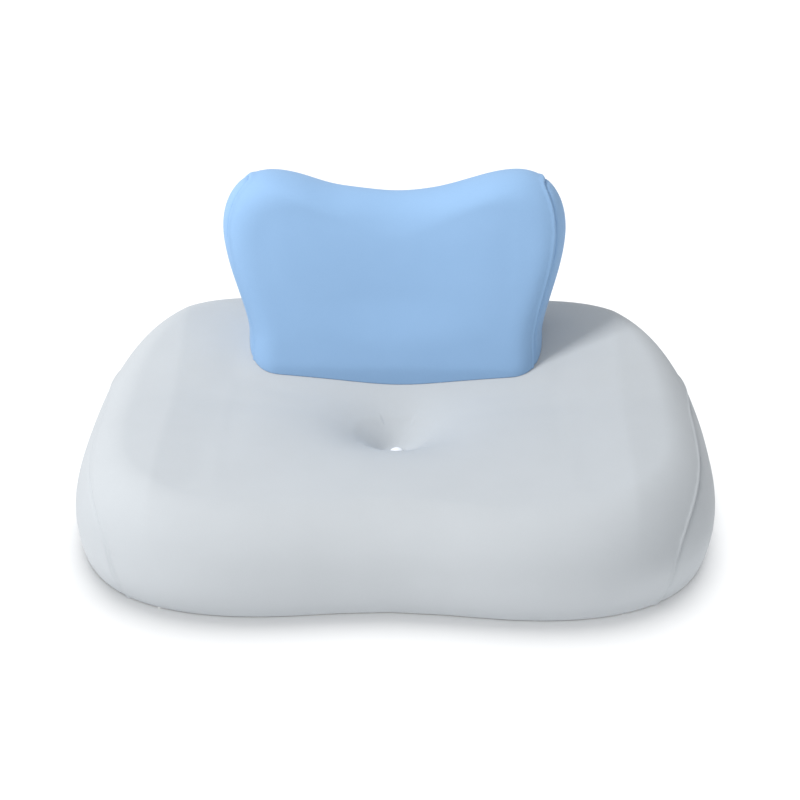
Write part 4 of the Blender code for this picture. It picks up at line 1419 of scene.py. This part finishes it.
def placed_mesh(name, bm, frame_matrix, material, bevel=0.0):
    """A finished plain piece: rounded edges, smooth shading, and its place in its mesh."""
    bmesh.ops.transform(bm, matrix=frame_matrix, verts=bm.verts)
    bmesh.ops.recalc_face_normals(bm, faces=bm.faces)
    made = solid_object(name, bm, material)
    if bevel:
        rounding = made.modifiers.new("rounding", "BEVEL")
        rounding.width = bevel
        rounding.segments = 2
        rounding.limit_method = "ANGLE"
        to_plain_mesh(made)
    made.data.shade_smooth()
    made.data.set_sharp_from_angle(angle=math.radians(50))
    return made


def ring_points(centre, half_length, half_breadth, power, count=32):
    """A squarish oval loop in the zip's plane."""
    turn = np.arange(count) / count * math.tau
    x = centre + half_length * np.sign(np.cos(turn)) * np.abs(np.cos(turn)) ** power
    z = half_breadth * np.sign(np.sin(turn)) * np.abs(np.sin(turn)) ** power
    return list(zip(x, z))


def slab_box(bm, low, high):
    made = bmesh.ops.create_cube(bm, size=1)["verts"]
    low, high = Vector(low), Vector(high)
    for vert in made:
        vert.co = (low + high) / 2 + Vector(a * b for a, b in zip(vert.co, high - low))


# %% [markdown]
# ### Coil, slider and pull
# Each maker builds its piece about the zip's own axes and a matrix then sets it in place, so
# the same three functions serve the upright seat zip and the leaning back zip.

# %% Zip makers
def zip_chain(name, matrix, half_length, material):
    """Two rows of teeth, the second half a pitch along and lapping the first, on a thin core."""
    half = half_length - ZIP_STOP_LENGTH
    count = int(2 * half / TOOTH_PITCH)
    spots, turns = [], []
    outward = np.array(matrix.col[1][:3])
    across = np.cross(outward, (1.0, 0.0, 0.0))
    for row, offset in ((1, 0.25), (-1, 0.75)):
        for index in range(count):
            x = -half + (index + offset) * TOOTH_PITCH
            spots.append(tuple(matrix @ Vector((x, CHAIN_HEIGHT / 2, row * ROW_AWAY))))
            turns.append(frame_turn(across, outward))
    teeth = repeated(f"{name}_teeth", spots, turns, pill(TOOTH[1], TOOTH[0], TOOTH[2]), material)
    bm = bmesh.new()
    slab_box(bm, (-half, 0.0001, -0.0019), (half, 0.0006, 0.0019))
    core = placed_mesh(f"{name}_core", bm, matrix, material)
    return joined(name, [teeth, core])


def zip_slider(name, matrix, x, material):
    """A saddle over the chain: plate, two side flanges that flare at the mouth, and a bridge."""
    top = SADDLE_Y + PLATE
    half_l, half_b = SLIDER_LENGTH / 2, SLIDER_BREADTH / 2
    bm = bmesh.new()
    slab_box(bm, (x - half_l, SADDLE_Y, -half_b), (x + half_l, top, half_b))
    for side in (-1, 1):
        low, high = sorted((side * 0.0027, side * half_b))
        slab_box(bm, (x - half_l, 0.00005, low), (x + half_l, SADDLE_Y + 0.0002, high))
    for vert in bm.verts:
        if vert.co.x < x and abs(vert.co.z) > 0.0035:
            vert.co.z *= 0.82
    arches = []
    for half, rise in ((HALF_BRIDGE, BRIDGE_CLEAR + STRAP), (HALF_BRIDGE - STRAP, BRIDGE_CLEAR)):
        arch = [(x - half * math.cos(turn), top + rise * math.sin(turn) ** 0.55)
                for turn in np.linspace(0, math.pi, 11)]
        arch[0], arch[-1] = (arch[0][0], top - BRIDGE_SUNK), (arch[-1][0], top - BRIDGE_SUNK)
        arches.append(arch)
    outer, inner = arches
    rows = [[bm.verts.new((px, py, side * STRAP_HALF)) for px, py in loop]
            for loop, side in ((outer, -1), (outer, 1), (inner, 1), (inner, -1))]
    for one, other in zip(rows, rows[1:] + rows[:1]):
        for a, b, c, d in zip(one, one[1:], other[1:], other):
            bm.faces.new((a, b, c, d))
    for end in (0, -1):
        bm.faces.new([row[end] for row in rows])
    return placed_mesh(name, bm, matrix, material, 0.0003)


def zip_pull(name, matrix, x, material):
    """A tab whose head loops round the bridge, with a small hole in its rounded tail."""
    hinge = SADDLE_Y + PLATE + BRIDGE_CLEAR / 2
    low, high = hinge - PULL_THICK / 2, hinge + PULL_THICK / 2
    start = x - PULL_THICK / 2
    end = start + PULL_LENGTH
    head_end = x + PULL_THICK / 2 + PULL_EYE[0]
    bm = bmesh.new()
    eye_centre = x + (PULL_THICK + PULL_EYE[0]) / 2
    half_head = (head_end + 0.0014 - start) / 2
    outline = ring_points(start + half_head, half_head, PULL_BREADTH / 2, 0.35)
    eye = ring_points(eye_centre, PULL_EYE[0] / 2, PULL_EYE[1] / 2, 0.30)
    outline_plate(bm, outline, eye, low, high)
    tail_start = head_end + 0.0009
    half_tail = (end - tail_start) / 2
    tail = ring_points(tail_start + half_tail, half_tail, PULL_BREADTH / 2 - 0.0004, 0.45)
    hole = ring_points(end - 0.0042, 0.0016, 0.0016, 1.0)
    outline_plate(bm, tail, hole, low + 0.00005, high - 0.00005)
    return placed_mesh(name, bm, matrix, material, 0.00022)


# %% [markdown]
# ### Both zips in place
# The tape under each coil is a herringbone weave. The sliders start at the closed end, just
# clear of the stops.

# %% Both zips
def woven_tape(name, dark, light):
    """A herringbone tape: diagonal ribs that turn back and forth across its breadth."""
    material, shader = new_material(name, light, 0.8)
    place = object_place(material)
    along, _, up = axes(material, place)
    slanted = math_node(material, "ADD", along, math_node(material, "PINGPONG", up, 0.0018))
    share = halved(material, wave(material, slanted, 0.0009))
    tinted(material, shader, share, dark, light)
    bump(material, shader, share, 0.00012, 0.8)
    return material


tape_weave = woven_tape("tape_weave", (0.34, 0.36, 0.39), (0.44, 0.46, 0.50))
seat_rear = seat_outline(np.array([math.pi / 2]))[1][0]
zip_side = seat_outline(np.arccos(np.array([(SEAT_ZIP_HALF * 2 / SEAT_WIDTH) ** (3.3 / 2)])))[1][0]
zips = {
    "seat": (zip_frame((0, min(seat_rear, zip_side) - ZIP_SUNK, SEAT_ZIP_Z), 0.0), SEAT_ZIP_HALF, "root"),
    "back": (zip_frame((0, back_zip_rear - ZIP_SUNK, BACK_ZIP_Z), back_zip_tilt), BACK_ZIP_HALF, "backrest"),
}
for prefix, (matrix, half_length, body) in zips.items():
    slider_x = SLIDER_LENGTH / 2 - (half_length - ZIP_STOP_LENGTH) + 0.0003
    made = zip_chain(f"{prefix}_coil", matrix, half_length, coil_nylon)
    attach(made, body)
    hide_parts(f"{prefix}_zip_chain")
    made = zip_slider(f"{prefix}_slider", matrix, slider_x, zip_plate)
    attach(made, f"{prefix}_zip_slider")
    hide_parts(f"{prefix}_zip_slider")
    made = zip_pull(f"{prefix}_pull", matrix, slider_x, zip_plate)
    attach(made, f"{prefix}_zip_pull")
    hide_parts(f"{prefix}_zip_pull")
    print(f"{prefix} zip: slider at {slider_x * 1000:.1f} mm")

# %% [markdown]
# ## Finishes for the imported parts
# The board, sockets, screws, cord, washer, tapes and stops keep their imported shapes. They only
# take finishes: layered plywood, drawn steel, twisted cord, moulded plastic and woven tape.

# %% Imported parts' finishes
def plywood_material():
    """Long grain on the faces, and thin plies seen on the edges."""
    material, shader = new_material("birch_ply", (0.62, 0.45, 0.27), 0.62)
    place = object_place(material)
    stretched = add_node(material, "ShaderNodeMapping", {"Vector": place, "Scale": (6.0, 90.0, 700.0)})
    grain = noise(material, stretched.outputs[0], 1.0, 5.0)
    tinted(material, shader, grain, (0.40, 0.26, 0.13), (0.72, 0.55, 0.36))
    bump(material, shader, grain, 0.0002, 0.4)
    return material


def cord_material():
    """Three strands that wind round the cord's line."""
    material, shader = new_material("twisted_cord", (0.78, 0.78, 0.75), 0.85)
    place = object_place(material)
    x, y, z = axes(material, place)
    heading = math_node(material, "ARCTAN2", y, x)
    climb = math_node(material, "MULTIPLY", z, math.tau / 0.0035)
    twist = math_node(material, "ADD", climb, math_node(material, "MULTIPLY", heading, 3.0))
    share = halved(material, math_node(material, "SINE", twist))
    tinted(material, shader, share, (0.55, 0.55, 0.52), (0.84, 0.84, 0.81))
    bump(material, shader, share, 0.0003, 0.8)
    return material


finishes = {
    "base_board": plywood_material(),
    "socket": bright_steel,
    "screw": bright_steel,
    "tuft_cord": cord_material(),
    "tuft_washer": satin_white,
    "seat_zip_tape": tape_weave,
    "back_zip_tape": tape_weave,
    "seat_zip_stop": zip_plate,
    "back_zip_stop": zip_plate,
}
dressed = 0
for node, packed in nodes.items():
    for start, material in finishes.items():
        if node.startswith(start):
            packed.data.materials.clear()
            packed.data.materials.append(material)
            dressed += 1
print("packed parts with a finish:", dressed)
